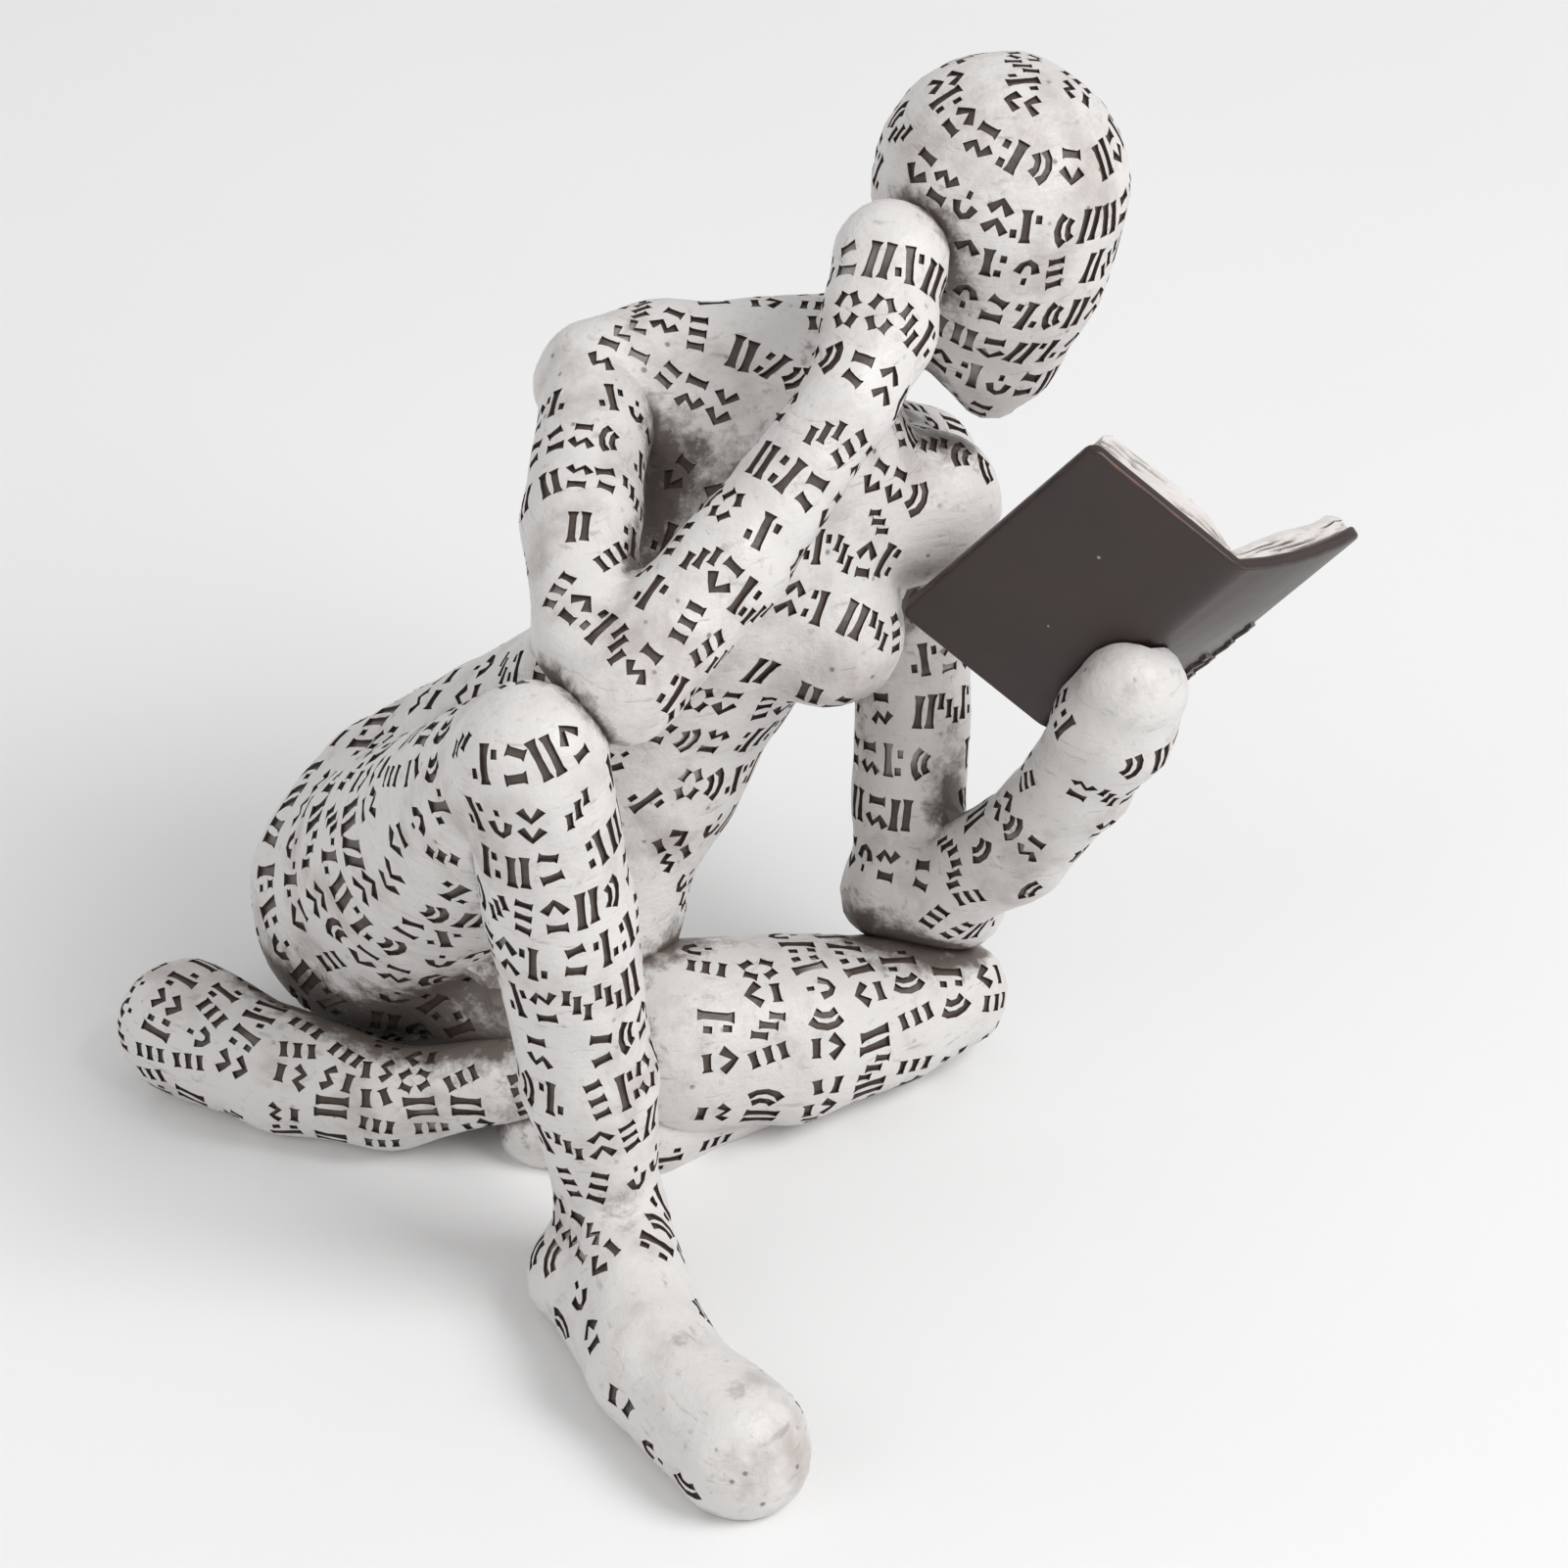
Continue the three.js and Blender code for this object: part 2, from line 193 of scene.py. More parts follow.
CHEST_FACING = (0.35, -0.92, -0.1)
HIP_FACING = (-0.1, -0.95, 0.2)
figure_forms = {
    "torso": modelled(3, [
        ball(torso.seat, (19.4, 19.4, 19.6)),
        ball(torso.cushion, (13, 14, 13.6)),
        ball_cone(shifted(torso.seat, 2, 0, 2), 16, torso.groin, 12),
        pressed_cone(shifted(torso.seat, 4, 3, 7), 18, torso.waist, 18.4, HIP_FACING, 0.85),
        pressed_cone(shifted(torso.groin, -2, 4, 3), 12, torso.waist, 15, HIP_FACING, 0.85),
        pressed_cone(torso.waist, 18.4, torso.ribs, 18.8, CHEST_FACING, 0.75),
        pressed_cone(torso.ribs, 18.8, torso.chest, 16, CHEST_FACING, 0.75),
        ball_cone(shifted(torso.chest, -4, 2, 4), 9, torso.shoulder_right, 8),
        ball_cone(torso.chest, 10, torso.shoulder_left, 8),
        *limb((torso.collar_inner, 9), (torso.collar_outer, 7.7), (torso.shoulder_right, 7.3)),
        ball_cone(torso.chest, 10, torso.neck, 7),
        ball(torso.breast_right, (9.9, 9.9, 9.9)),
        ball(torso.breast_left, (9, 9, 9)),
        ball_cone(torso.chest, 10, torso.breast_left, 8.4),
        ball_cone(torso.ribs, 12, torso.breast_left, 7.5),
        ball_cone(torso.seat, 18.5, leg_right.knee, 9.7),
    ]),
    "head": modelled(2.5, [
        *limb((head.crown, 16), (head.brow, 13.7), (head.jaw, 9), (head.chin, 4.8)),
        ball_cone(torso.neck, 6.5, head.brow, 7),
    ]),
    "arm_right": modelled(2, [
        *limb((torso.shoulder_right, 7.6), (arm_right.biceps, 7.2), (arm_right.elbow, 6.5)),
        *limb((arm_right.bend, 7.9), (arm_right.forearm, 6.8), (arm_right.wrist, 5.7),
              (arm_right.palm, 6.8), (arm_right.fingers, 7.2)),
    ]),
    "arm_left": modelled(2, [
        ball_cone(torso.shoulder_left, 8, arm_left.elbow, 7.4),
        ball_cone(arm_left.pad_inner, 6.6, arm_left.pad_outer, 6.6),
        *limb((arm_left.elbow, 7.6), (arm_left.bend, 7.3), (arm_left.forearm, 6.9),
              (arm_left.wrist, 6.7), (arm_left.palm, 7.6), (arm_left.fingers, 7.1)),
    ]),
    "shin_right": modelled(2, [
        *limb((leg_right.knee, 9.5), (leg_right.calf, 9.2), (leg_right.shin, 8.4),
              (leg_right.ankle, 6.4)),
        ball_cone(leg_right.ankle, 6.2, leg_right.heel, 5.9),
        ball_cone(leg_right.ankle, 6.6, leg_right.instep, 7.9),
        ball_cone(leg_right.heel, 6.1, leg_right.instep, 7.6),
        ball_cone(leg_right.instep, 7.9, leg_right.toes, 9),
    ]),
    "thigh_left": modelled(1, limb((torso.groin, 12.5), (leg_left.root, 12.8),
                                   (leg_left.thigh, 12.4), (leg_left.knee_upper, 10),
                                   (leg_left.knee, 7.4))),
    "calf_left": modelled(1.5, limb((leg_left.shin, 6), (leg_left.calf, 10.3),
                                    (leg_left.calf_end, 6.8))),
    "foot_left": modelled(1.5, limb((leg_left.ankle_start, 9), (leg_left.ankle, 5.2),
                                    (leg_left.heel, 6.9), (leg_left.ball, 8.1),
                                    (leg_left.toes, 9.1))),
}

# The hand left the clay a little uneven: low swells about a fingertip apart
SWELLS = [
    (0.10, (0.41, 0.17, -0.23), 0.4),
    (0.09, (-0.19, 0.38, 0.27), 1.9),
    (0.08, (0.22, -0.31, 0.43), 3.1),
    (0.05, (0.71, 0.36, 0.52), 5.0),
    (0.05, (-0.48, 0.61, -0.57), 2.2),
]


def swell(points):
    return sum(height * np.sin(points @ np.array(wave) + phase) for height, wave, phase in SWELLS)


def form_distances(points):
    """Distance to each form, a column for each, in the order of figure_forms."""
    uneven = swell(points)
    return np.stack([distance(points) + uneven for distance in figure_forms.values()], 1)


def figure_distance(points):
    return form_distances(points).min(1)


def slope_of(distance, points, feel=0.03):
    """Unit outward normals of a distance at these points."""
    steps = [distance(points + feel * way) - distance(points - feel * way) for way in np.eye(3)]
    return unit(np.stack(steps, 1) + 1e-12)


def onto_skin(distance, points, most):
    """Points moved straight onto the skin, by no more than this."""
    start = points.copy()
    for _ in range(4):
        here = distance(points)
        points = points - slope_of(distance, points) * here[:, None]
    move = points - start
    far = np.linalg.norm(move, axis=1, keepdims=True)
    return start + move * np.minimum(1, most / np.maximum(far, 1e-9))


CORNERS = np.array(list(itertools.product((0, 1), repeat=3)))


def hangs_together(corner_set):
    """Whether these corners of a cell are joined along the cell's edges."""
    reached, edge = set(corner_set[:1]), set(corner_set[:1])
    while edge:
        edge = {a ^ bit for a in edge for bit in (1, 2, 4)} & set(corner_set) - reached
        reached |= edge
    return len(reached) == len(corner_set)


single_sheet = np.array([
    hangs_together([k for k in range(8) if code >> k & 1])
    and hangs_together([k for k in range(8) if not code >> k & 1])
    for code in range(256)
])


def skin_over(distance, cell):
    """A closed skin where the distance is zero: one vertex in each grid cell that it passes through,
    and two triangles across each grid edge that it crosses."""
    rough = np.stack(np.meshgrid(*[np.arange(lo, hi, 5.0) for lo, hi in ((-90, 90), (-70, 80), (-20, 155))],
                                 indexing="ij"), -1).reshape(-1, 3)
    near = rough[distance(rough) < 6]
    low, high = near.min(0) - 3.1, near.max(0) + 3.1
    count = np.ceil((high - low) / cell).astype(int) + 1
    spots = np.stack(np.meshgrid(*[np.arange(n) for n in count], indexing="ij"), -1)
    value = distance(low + cell * spots.reshape(-1, 3)).reshape(count)

    def at_corner(grid, corner):
        return grid[tuple(slice(c, c + n - 1) for c, n in zip(corner, count))]

    while True:
        codes = sum((at_corner(value, c) < 0).astype(int) << k for k, c in enumerate(CORNERS))
        mixed = ~single_sheet[codes]
        if not mixed.any():
            break
        for corner in CORNERS:
            view = at_corner(value, corner)
            view[mixed] = np.minimum(view[mixed], -cell / 20)

    cells = np.argwhere((codes > 0) & (codes < 255))
    vertex_of = np.full(codes.shape, -1)
    vertex_of[tuple(cells.T)] = np.arange(len(cells))
    total, crossings = np.zeros((len(cells), 3)), np.zeros(len(cells))
    for corner in CORNERS:
        for axis in np.flatnonzero(corner == 0):
            way = np.eye(3)[axis]
            a = value[tuple((cells + corner).T)]
            b = value[tuple((cells + corner + way.astype(int)).T)]
            crossed = (a < 0) != (b < 0)
            share = np.where(crossed, a / np.where(crossed, a - b, 1), 0)
            total += crossed[:, None] * (corner + share[:, None] * way)
            crossings += crossed
    points = low + cell * (cells + total / crossings[:, None])
    points = onto_skin(distance, points, cell / 2)

    triangles = []
    inside = value < 0
    for axis in range(3):
        way, right, up = (np.roll(np.eye(3, dtype=int)[axis], k) for k in range(3))
        first = inside[1:-1, 1:-1, 1:-1]
        ahead = inside[tuple(slice(1 + w, n - 1 + w) for w, n in zip(way, count))]
        for starts in (True, False):
            base = np.argwhere((first == starts) & (ahead != starts)) + 1
            ring = [base - right - up, base - up, base, base - right]
            quads = np.stack([vertex_of[tuple(c.T)] for c in (ring if starts else ring[::-1])], 1)
            corners = points[quads]
            one = np.linalg.norm(corners[:, 0] - corners[:, 2], axis=1)
            other = np.linalg.norm(corners[:, 1] - corners[:, 3], axis=1)
            quads = np.where((one < other)[:, None], quads, np.roll(quads, -1, 1))
            triangles += [quads[:, [0, 1, 2]], quads[:, [0, 2, 3]]]
    return points, np.concatenate(triangles)


def working_object(name, points, faces, face_slots=None, slots=1):
    """An object in millimetres that is only there to be joined or cut with."""
    mesh = bpy.data.meshes.new(name)
    mesh.from_pydata(np.asarray(points).tolist(), [], [list(map(int, face)) for face in faces])
    for _ in range(slots):
        mesh.materials.append(None)
    if face_slots is not None:
        mesh.polygons.foreach_set("material_index", np.asarray(face_slots, np.int32))
    made = bpy.data.objects.new(name, mesh)
    bpy.context.scene.collection.objects.link(made)
    return made


def cut_or_join(first, second, operation):
    """The boolean of two closed objects; the second is used up."""
    step = first.modifiers.new("step", "BOOLEAN")
    step.operation, step.object, step.solver = operation, second, "MANIFOLD"
    evaluated = first.evaluated_get(bpy.context.evaluated_depsgraph_get())
    result = bpy.data.meshes.new_from_object(evaluated)
    first.modifiers.clear()
    old = first.data
    first.data = result
    bpy.data.meshes.remove(old)
    bpy.data.objects.remove(second)


SKIN_CELL = 2.2
figure = None
for form_name, form_distance in figure_forms.items():
    skin = working_object(form_name, *skin_over(lambda p: form_distance(p) + swell(p), SKIN_CELL), slots=3)
    if figure is None:
        figure = skin
    else:
        cut_or_join(figure, skin, "UNION")

BOX_CORNERS = np.array(list(itertools.product((-0.5, 0.5), repeat=3)))
BOX_FACES = [(0, 1, 3, 2), (4, 6, 7, 5), (0, 4, 5, 1), (2, 3, 7, 6), (0, 2, 6, 4), (1, 5, 7, 3)]
ground = working_object("ground", BOX_CORNERS * (400, 400, 20) - (0, 0, 10), BOX_FACES, slots=3)
cut_or_join(figure, ground, "DIFFERENCE")

# The book's measures are needed twice: the hand has a slot that the book is glued into, cut before the
# casting is painted. Profile seen along the spine: x across the open book, y into it.
BOOK_HEIGHT = 39.0
LEAN = math.radians(90 - 123 / 2)
COVER_BOARD = 1.8
LEAVES = (
    {"side": -1, "width": 25.0, "bow": 0.0, "pages": 5.0},
    {"side": 1, "width": 27.5, "bow": 1.2, "pages": 3.2},
)
spine_way = unit((0.6, -0.18, 0.78))
inward_way = np.array((-0.15, 0.93, 0.33))
inward_way = unit(inward_way - (inward_way @ spine_way) * spine_way)
BOOK_AXES = np.stack([np.cross(inward_way, spine_way), inward_way, spine_way])
BOOK_TAIL = placed((33.5, 5.5, 61))


def leaf_point(leaf, share, lift):
    """A point of a leaf by its share of the width from the spine and its lift off the outer face."""
    along = leaf["width"] * share
    rise = lift - 4 * leaf["bow"] * share * (1 - share)
    return np.stack(np.broadcast_arrays(
        leaf["side"] * (along * math.cos(LEAN) - rise * math.sin(LEAN)),
        along * math.sin(LEAN) + rise * math.cos(LEAN),
    ), -1)


def book_place(profile, height):
    """Profile points at heights along the spine, in the figure's own millimetres."""
    flat = np.concatenate([profile, np.broadcast_to(height, profile.shape[:-1])[..., None]], -1)
    return BOOK_TAIL + flat @ BOOK_AXES


def band(leaf, lift, reach, steps=6):
    start = lift * math.tan(LEAN) / leaf["width"]
    return leaf_point(leaf, np.linspace(start, reach / leaf["width"], steps), lift)


def open_profile(outer, inner):
    left, right = LEAVES
    return np.concatenate([outer(left)[::-1], outer(right)[1:], inner(right)[::-1], inner(left)[1:]])


def prism(profile, low, high):
    """Corner points and faces of a profile drawn out along the spine."""
    n = len(profile)
    points = np.concatenate([book_place(profile, low), book_place(profile, high)])
    sides = [(k, (k + 1) % n, n + (k + 1) % n, n + k) for k in range(n)]
    return points, [tuple(range(n))[::-1], tuple(range(n, 2 * n)), *sides]


slot_profile = open_profile(lambda leaf: band(leaf, -0.3, 17), lambda leaf: band(leaf, 17, 19))
slot_points, slot_faces = prism(slot_profile, -0.3, 30)
hand_slot = working_object("slot", slot_points, slot_faces, [1] * len(slot_faces), slots=3)
cut_or_join(figure, hand_slot, "DIFFERENCE")

# Rows of stamped marks circle every limb. Each was pressed into the soft clay with a small bar-ended
# stick, two to four strokes to a mark, about 4 mm high and half a millimetre deep, so the casting shows
# them sunk. They spell nothing: leaning bars, arches, chevrons and dots, with some missing or worn.
MARK_HALF_WIDTH = 1.68
MARK_HALF_HEIGHT = 2.3
STROKE = 1.16
MARK_DEPTH = 0.5
MARK_PITCH = 4.1
ROW_END_ROOM = 3.9
LEAST_ALONG_ROW = 3.8
LEAST_BETWEEN_ROWS = 5.2
OFF_SKIN = 0.25
WIDEST_STROKE, NARROWEST_STROKE = 2.8, 0.3
CREASE_MARGIN = 0.6
rng = np.random.default_rng(7)


def arc(centre, radius, start, end, steps=4):
    turns = np.radians(np.linspace(start, end, steps + 1))
    return [(centre[0] + radius[0] * math.cos(t), centre[1] + radius[1] * math.sin(t)) for t in turns]


# Strokes as centre lines in a mark's own width and height, -1 to 1, with their half width in millimetres
MARKS = [
    [([(-0.76, -1), (-0.36, 1)], 0.56), ([(0.36, -1), (0.76, 1)], 0.56)],
    [([(-0.25, -1), (0.25, 1)], 0.56), ([(-0.86, 0.3), (-0.74, 0.8)], 0.4),
     ([(0.74, -0.8), (0.86, -0.3)], 0.4)],
    [([(-0.88, 0.15), (0, 0.85), (0.88, 0.15)], 0.54), ([(-0.8, -0.72), (0.8, -0.72)], 0.56)],
    [([(-0.86, 0.3), (0, 0.95), (0.86, 0.3)], 0.5), ([(-0.86, -0.9), (0, -0.25), (0.86, -0.9)], 0.5)],
    [(arc((0, -0.2), (0.76, 0.98), 12, 168, 4), 0.46), ([(-0.2, -0.55), (0.2, -0.55)], 0.5)],
    [([(-0.92, 0.25), (-0.35, 0.8), (0.35, 0.35), (0.92, 0.9)], 0.48), ([(-0.8, -0.65), (0.8, -0.65)], 0.58)],
    [([(-0.85, 0.2), (-0.3, 0.9)], 0.5), ([(0.35, 0.9), (0.85, 0.2)], 0.5),
     ([(-0.85, -0.3), (-0.35, -0.95)], 0.5), ([(0.3, -0.95), (0.85, -0.3)], 0.5)],
    [([(-0.72, 0.5), (0.72, 0.78)], 0.6), ([(-0.85, -0.5), (0.85, -0.66)], 0.64)],
    [([(-0.86, 0.05), (-0.66, 1)], 0.46), ([(-0.1, -0.55), (0.1, 0.55)], 0.46),
     ([(0.66, -1), (0.86, -0.05)], 0.46)],
    [(arc((0.35, 0), (1.0, 1.0), 112, 248, 4), 0.48), (arc((1.15, 0), (0.9, 0.75), 125, 235, 3), 0.44)],
    [([(-0.66, -1), (-0.2, 1)], 0.58), ([(0.56, 0.3), (0.66, 0.8)], 0.42),
     ([(0.56, -0.8), (0.66, -0.3)], 0.42)],
    [([(-0.92, 0.66), (0.4, 0.95)], 0.5), ([(-0.66, -0.14), (0.7, 0.12)], 0.5),
     ([(-0.4, -0.95), (0.92, -0.68)], 0.5)],
]
# The wide bars were used most
MARK_SHARES = np.array([5, 3, 3, 2, 3, 3, 1, 2, 3, 3, 4, 3]) / 35

# Rows of marks along each limb: the form, the stations of the row's axis, the step between rows, the
# furthest skin from the axis, the share of marks that were stamped, and the marks' width and height.
# The first rows, round the head, are tilted; the second cross its crown.
HEAD_TILT = (0.31, -0.05, 0.95)
ROWS = [
    ("head", [(26, 27.5, 97), head.jaw, head.brow, head.crown, (27, 29, 144)],
     6.9, 40, 0.97, 0.98, 0.98),
    ("head", [(14, 29, 137), (42, 28, 137)], 6.6, 13, 0.97, 0.95, 0.95),
    ("shin_right", [(-32, -33.8, 94), leg_right.knee, leg_right.calf, leg_right.shin,
                    leg_right.ankle, (-22, -36, 7)], 7.6, 17, 0.93, 0.98, 1.15),
    ("arm_right", [arm_right.bend, arm_right.forearm, arm_right.wrist, arm_right.palm,
                   arm_right.fingers], 7.2, 14, 0.95, 0.98, 1.05),
    ("arm_right", [torso.shoulder_right, arm_right.biceps, arm_right.elbow],
     7.2, 14, 0.88, 0.9, 0.95),
    ("torso", [(-57, 40, -2), torso.seat, leg_right.knee, (-28.5, -39, 92)],
     9.6, 25, 0.95, 1.2, 1.45),
    ("torso", [(-43, 22, 26), (-31, 15, 43)], 7.4, 26, 0.9, 1.05, 1.1),
    ("torso", [(-28, 13, 47), torso.waist, (-14, 16.5, 66), torso.ribs, torso.chest,
               (5, 25, 100)], 7.2, 32, 0.95, 0.98, 1.04),
    ("torso", [torso.collar_inner, torso.collar_outer, torso.shoulder_right],
     6.6, 15, 0.85, 0.85, 0.9),
    ("torso", [torso.chest, torso.shoulder_left], 6.8, 16, 0.85, 0.85, 0.9),
    ("thigh_left", [leg_left.root, leg_left.thigh, leg_left.knee_upper, leg_left.knee,
                    (29, 18.5, 9.2)], 6.9, 18, 0.95, 1.0, 1.08),
    ("calf_left", [leg_left.shin, leg_left.calf, leg_left.calf_end], 6.6, 15, 0.88, 0.92, 0.92),
    ("foot_left", [leg_left.ankle_start, leg_left.ankle, leg_left.heel, leg_left.ball,
                   leg_left.toes, (-86, 14, 8)], 6.2, 14, 0.95, 0.92, 0.95),
    ("arm_left", [torso.shoulder_left, arm_left.elbow], 7.2, 13, 0.9, 0.92, 1.0),
    ("arm_left", [arm_left.bend, arm_left.forearm, arm_left.wrist, arm_left.palm,
                  arm_left.fingers], 7.4, 13, 0.75, 0.92, 0.98),
    ("shin_right", [(-20, -43, 10), leg_right.instep, leg_right.toes, (-2, -73.5, 6)],
     7.2, 15, 0.34, 1.0, 1.1),
]


def along_axis(stations, step):
    """Points a step apart along an axis, and the way it runs there, turned gently at the bends."""
    stations = np.array([placed(s) for s in stations])
    lengths = np.linalg.norm(np.diff(stations, axis=0), axis=1)
    reach = np.concatenate([[0], np.cumsum(lengths)])
    places = np.arange(step * 0.35, reach[-1], step)

    def point(s):
        s = np.clip(s, 0, reach[-1])
        return np.stack([np.interp(s, reach, stations[:, k]) for k in range(3)], 1)

    return point(places), unit(point(places + 3) - point(places - 3))


def crease_gap(points):
    """How far the skin here is from another form that meets it at an angle."""
    gaps = form_distances(points)
    ways = np.stack([slope_of(distance, points) for distance in figure_forms.values()], 1)
    own_way = np.take_along_axis(ways, gaps.argmin(1)[:, None, None], 1)
    level = (ways * own_way).sum(2) > 0.8
    return np.where(level, 9.0, gaps - gaps.min(1)[:, None]).min(1)


form_order = list(figure_forms)
mark_spots = []
row_count = 0
for set_number, (form_name, stations, step, furthest, kept, wide, tall) in enumerate(ROWS):
    column = form_order.index(form_name)
    for centre, axis in zip(*along_axis(stations, step)):
        row_count += 1
        axis = unit(HEAD_TILT) if set_number == 0 else axis
        side = unit(np.cross(axis, (0.31, 0.87, 0.38)))
        turns = np.linspace(0, 2 * math.pi, 121) + rng.uniform(0, 6)
        ways = np.outer(np.cos(turns), side) + np.outer(np.sin(turns), np.cross(axis, side))
        reach = np.zeros(len(turns))
        for _ in range(40):
            inside = -figure_forms[form_name](centre + reach[:, None] * ways)
            reach = np.clip(reach + inside, 0, furthest + 1)
        ring = centre + reach[:, None] * ways
        travelled = np.concatenate([[0], np.cumsum(np.linalg.norm(np.diff(ring, axis=0), axis=1))])
        place, in_word = 0.0, 0
        while place < travelled[-1] - ROW_END_ROOM * wide:
            spot = np.array([np.interp(place, travelled, ring[:, k]) for k in range(3)])
            if rng.random() < kept and np.interp(place, travelled, reach) < furthest:
                mark_spots.append((spot, axis, column, row_count, wide, tall))
            in_word += 1
            place += MARK_PITCH * wide
            # Four to seven marks stand together, then there is a wider gap
            if in_word >= rng.integers(4, 8):
                place, in_word = place + rng.uniform(1.0, 2.6), 0

centres = np.array([s[0] for s in mark_spots])
ups = np.array([s[1] for s in mark_spots])
columns = np.array([s[2] for s in mark_spots])
row_of = np.array([s[3] for s in mark_spots])
sizes = np.array([s[4:] for s in mark_spots])
centres = onto_skin(figure_distance, centres, 1.0)
normals = slope_of(figure_distance, centres)
own = form_distances(centres)[np.arange(len(centres)), columns]
in_book = (centres - BOOK_TAIL) @ BOOK_AXES.T
good = (np.abs(own) < OFF_SKIN) & (np.abs(figure_distance(centres)) < OFF_SKIN)
good &= (crease_gap(centres) > 1.3) & (centres[:, 2] > 2.1)
good &= np.abs((normals * ups).sum(1)) < 0.9
# None where the hand holds the book
beside_book = np.abs(in_book[:, 0]) * math.tan(LEAN) - in_book[:, 1]
good &= ~((beside_book < 2.2) & (np.abs(in_book[:, 0]) < 24) & (in_book[:, 1] < 26)
          & (in_book[:, 2] > -2.5) & (in_book[:, 2] < 42))
chosen = []
for k in np.flatnonzero(good):
    least = np.where(row_of[chosen] == row_of[k], LEAST_ALONG_ROW, LEAST_BETWEEN_ROWS) * sizes[k, 0]
    if (np.linalg.norm(centres[chosen] - centres[k], axis=1) > least).all():
        chosen.append(k)

cutter_points, cutter_faces, cutter_slots = [], [], []
rails, strokes = [], []
for k in chosen:
    normal = normals[k]
    up = unit(ups[k] - (ups[k] @ normal) * normal) * rng.choice((-1, 1))
    lean = rng.normal(0, math.radians(4))
    up = up * math.cos(lean) + np.cross(normal, up) * math.sin(lean)
    right = np.cross(up, normal) * rng.choice((-1, 1))
    shift = rng.normal(0, 0.12, 2)
    facing_away = normal @ unit(np.array([0, -0.79, 0.61])) < -0.15
    design = MARKS[rng.choice(len(MARKS), p=MARK_SHARES)]
    for line, half_width in design[: 2 if facing_away else None]:
        line = np.array(line) * (MARK_HALF_WIDTH, MARK_HALF_HEIGHT) * sizes[k]
        line = line * rng.uniform(0.95, 1.03) + shift
        run = np.concatenate([[0], np.cumsum(np.linalg.norm(np.diff(line, axis=0), axis=1))])
        if len(line) == 2:
            # A bar swells at both ends, as a bar-ended stick leaves it
            stops = [0, 1] if run[-1] < 1.6 else [0, 0.5, 1] if facing_away else [0, 0.16, 0.5, 0.84, 1]
            swelling = {2: [1, 1], 3: [1, 0.9, 1], 5: [1.35, 0.95, 0.88, 0.95, 1.35]}[len(stops)]
        else:
            stops = run / run[-1]
            swelling = [1.2] + [0.95] * (len(stops) - 2) + [1.2]
        centre_line = np.stack([np.interp(np.array(stops) * run[-1], run, line[:, c]) for c in range(2)], 1)
        heading = unit(np.gradient(centre_line, axis=0))
        across = np.stack([-heading[:, 1], heading[:, 0]], 1)
        widths = half_width * STROKE * sizes[k, 0] * np.array(swelling)[:, None]
        widths = widths * rng.normal(1, 0.05, (len(stops), 1))
        for edge in (centre_line + across * widths, centre_line - across * widths):
            rails.append(centres[k] + edge[:, :1] * right + edge[:, 1:] * up)
        strokes.append((len(stops), MARK_DEPTH * rng.uniform(0.85, 1.1)))

all_rails = onto_skin(figure_distance, np.concatenate(rails), 2.5)
rail_normals = slope_of(figure_distance, all_rails)
rail_gap = np.where(np.abs(figure_distance(all_rails)) < 0.2, crease_gap(all_rails), 0)
start = 0
for count, deep in strokes:
    one, two = slice(start, start + count), slice(start + count, start + 2 * count)
    start += 2 * count
    if min(rail_gap[one].min(), rail_gap[two].min()) < CREASE_MARGIN or all_rails[one, 2].min() < 0.7:
        continue
    middle = (all_rails[one] + all_rails[two]) / 2
    widths = np.linalg.norm(all_rails[one] - all_rails[two], axis=1)
    if widths.max() > WIDEST_STROKE or widths.min() < NARROWEST_STROKE:
        continue
    base = sum(len(p) for p in cutter_points)
    floor_share = 0.86
    low_one = middle + (all_rails[one] - middle) * floor_share - rail_normals[one] * deep
    low_two = middle + (all_rails[two] - middle) * floor_share - rail_normals[two] * deep
    high_one = all_rails[one] + rail_normals[one] * 0.6
    high_two = all_rails[two] + rail_normals[two] * 0.6
    loops = np.stack([high_one, high_two, low_two, low_one], 1).reshape(-1, 3)
    flipped = np.cross(all_rails[one][1] - all_rails[one][0], all_rails[two][0] - all_rails[one][0]) \
        @ rail_normals[one][0] > 0
    cutter_points.append(loops)
    quads = []
    for a in range(base, base + 4 * (count - 1), 4):
        b = a + 4
        quads += [((a, a + 1, b + 1, b), 0), ((a + 1, a + 2, b + 2, b + 1), 1),
                  ((a + 2, a + 3, b + 3, b + 2), 2), ((a + 3, a, b, b + 3), 1)]
    a, b = base, base + 4 * (count - 1)
    quads += [((a + 3, a + 2, a + 1, a), 1), ((b, b + 1, b + 2, b + 3), 1)]
    for quad, slot in quads:
        cutter_faces.append(quad[::-1] if flipped else quad)
        cutter_slots.append(slot)

stick = working_object("strokes", np.concatenate(cutter_points), cutter_faces, cutter_slots, slots=3)
cut_or_join(figure, stick, "DIFFERENCE")

# Vertices closer than this become one, and the slivers between them go
WELD = 0.004
figure.data.calc_loop_triangles()
corner_points = np.array([v.co for v in figure.data.vertices])
_, kept_vertex, merged = np.unique(np.round(corner_points / WELD), axis=0, return_index=True,
                                   return_inverse=True)
triangles = merged.reshape(-1)[np.array([t.vertices for t in figure.data.loop_triangles])]
triangle_slots = np.array([t.material_index for t in figure.data.loop_triangles])
whole = (triangles != np.roll(triangles, 1, 1)).all(1)
triangles, triangle_slots = triangles[whole], triangle_slots[whole]
_, same, times = np.unique(np.sort(triangles, 1), axis=0, return_inverse=True, return_counts=True)
single = times[same.reshape(-1)] == 1
triangles, triangle_slots = triangles[single], triangle_slots[single]
used, renumbered = np.unique(triangles, return_inverse=True)
old_figure = figure
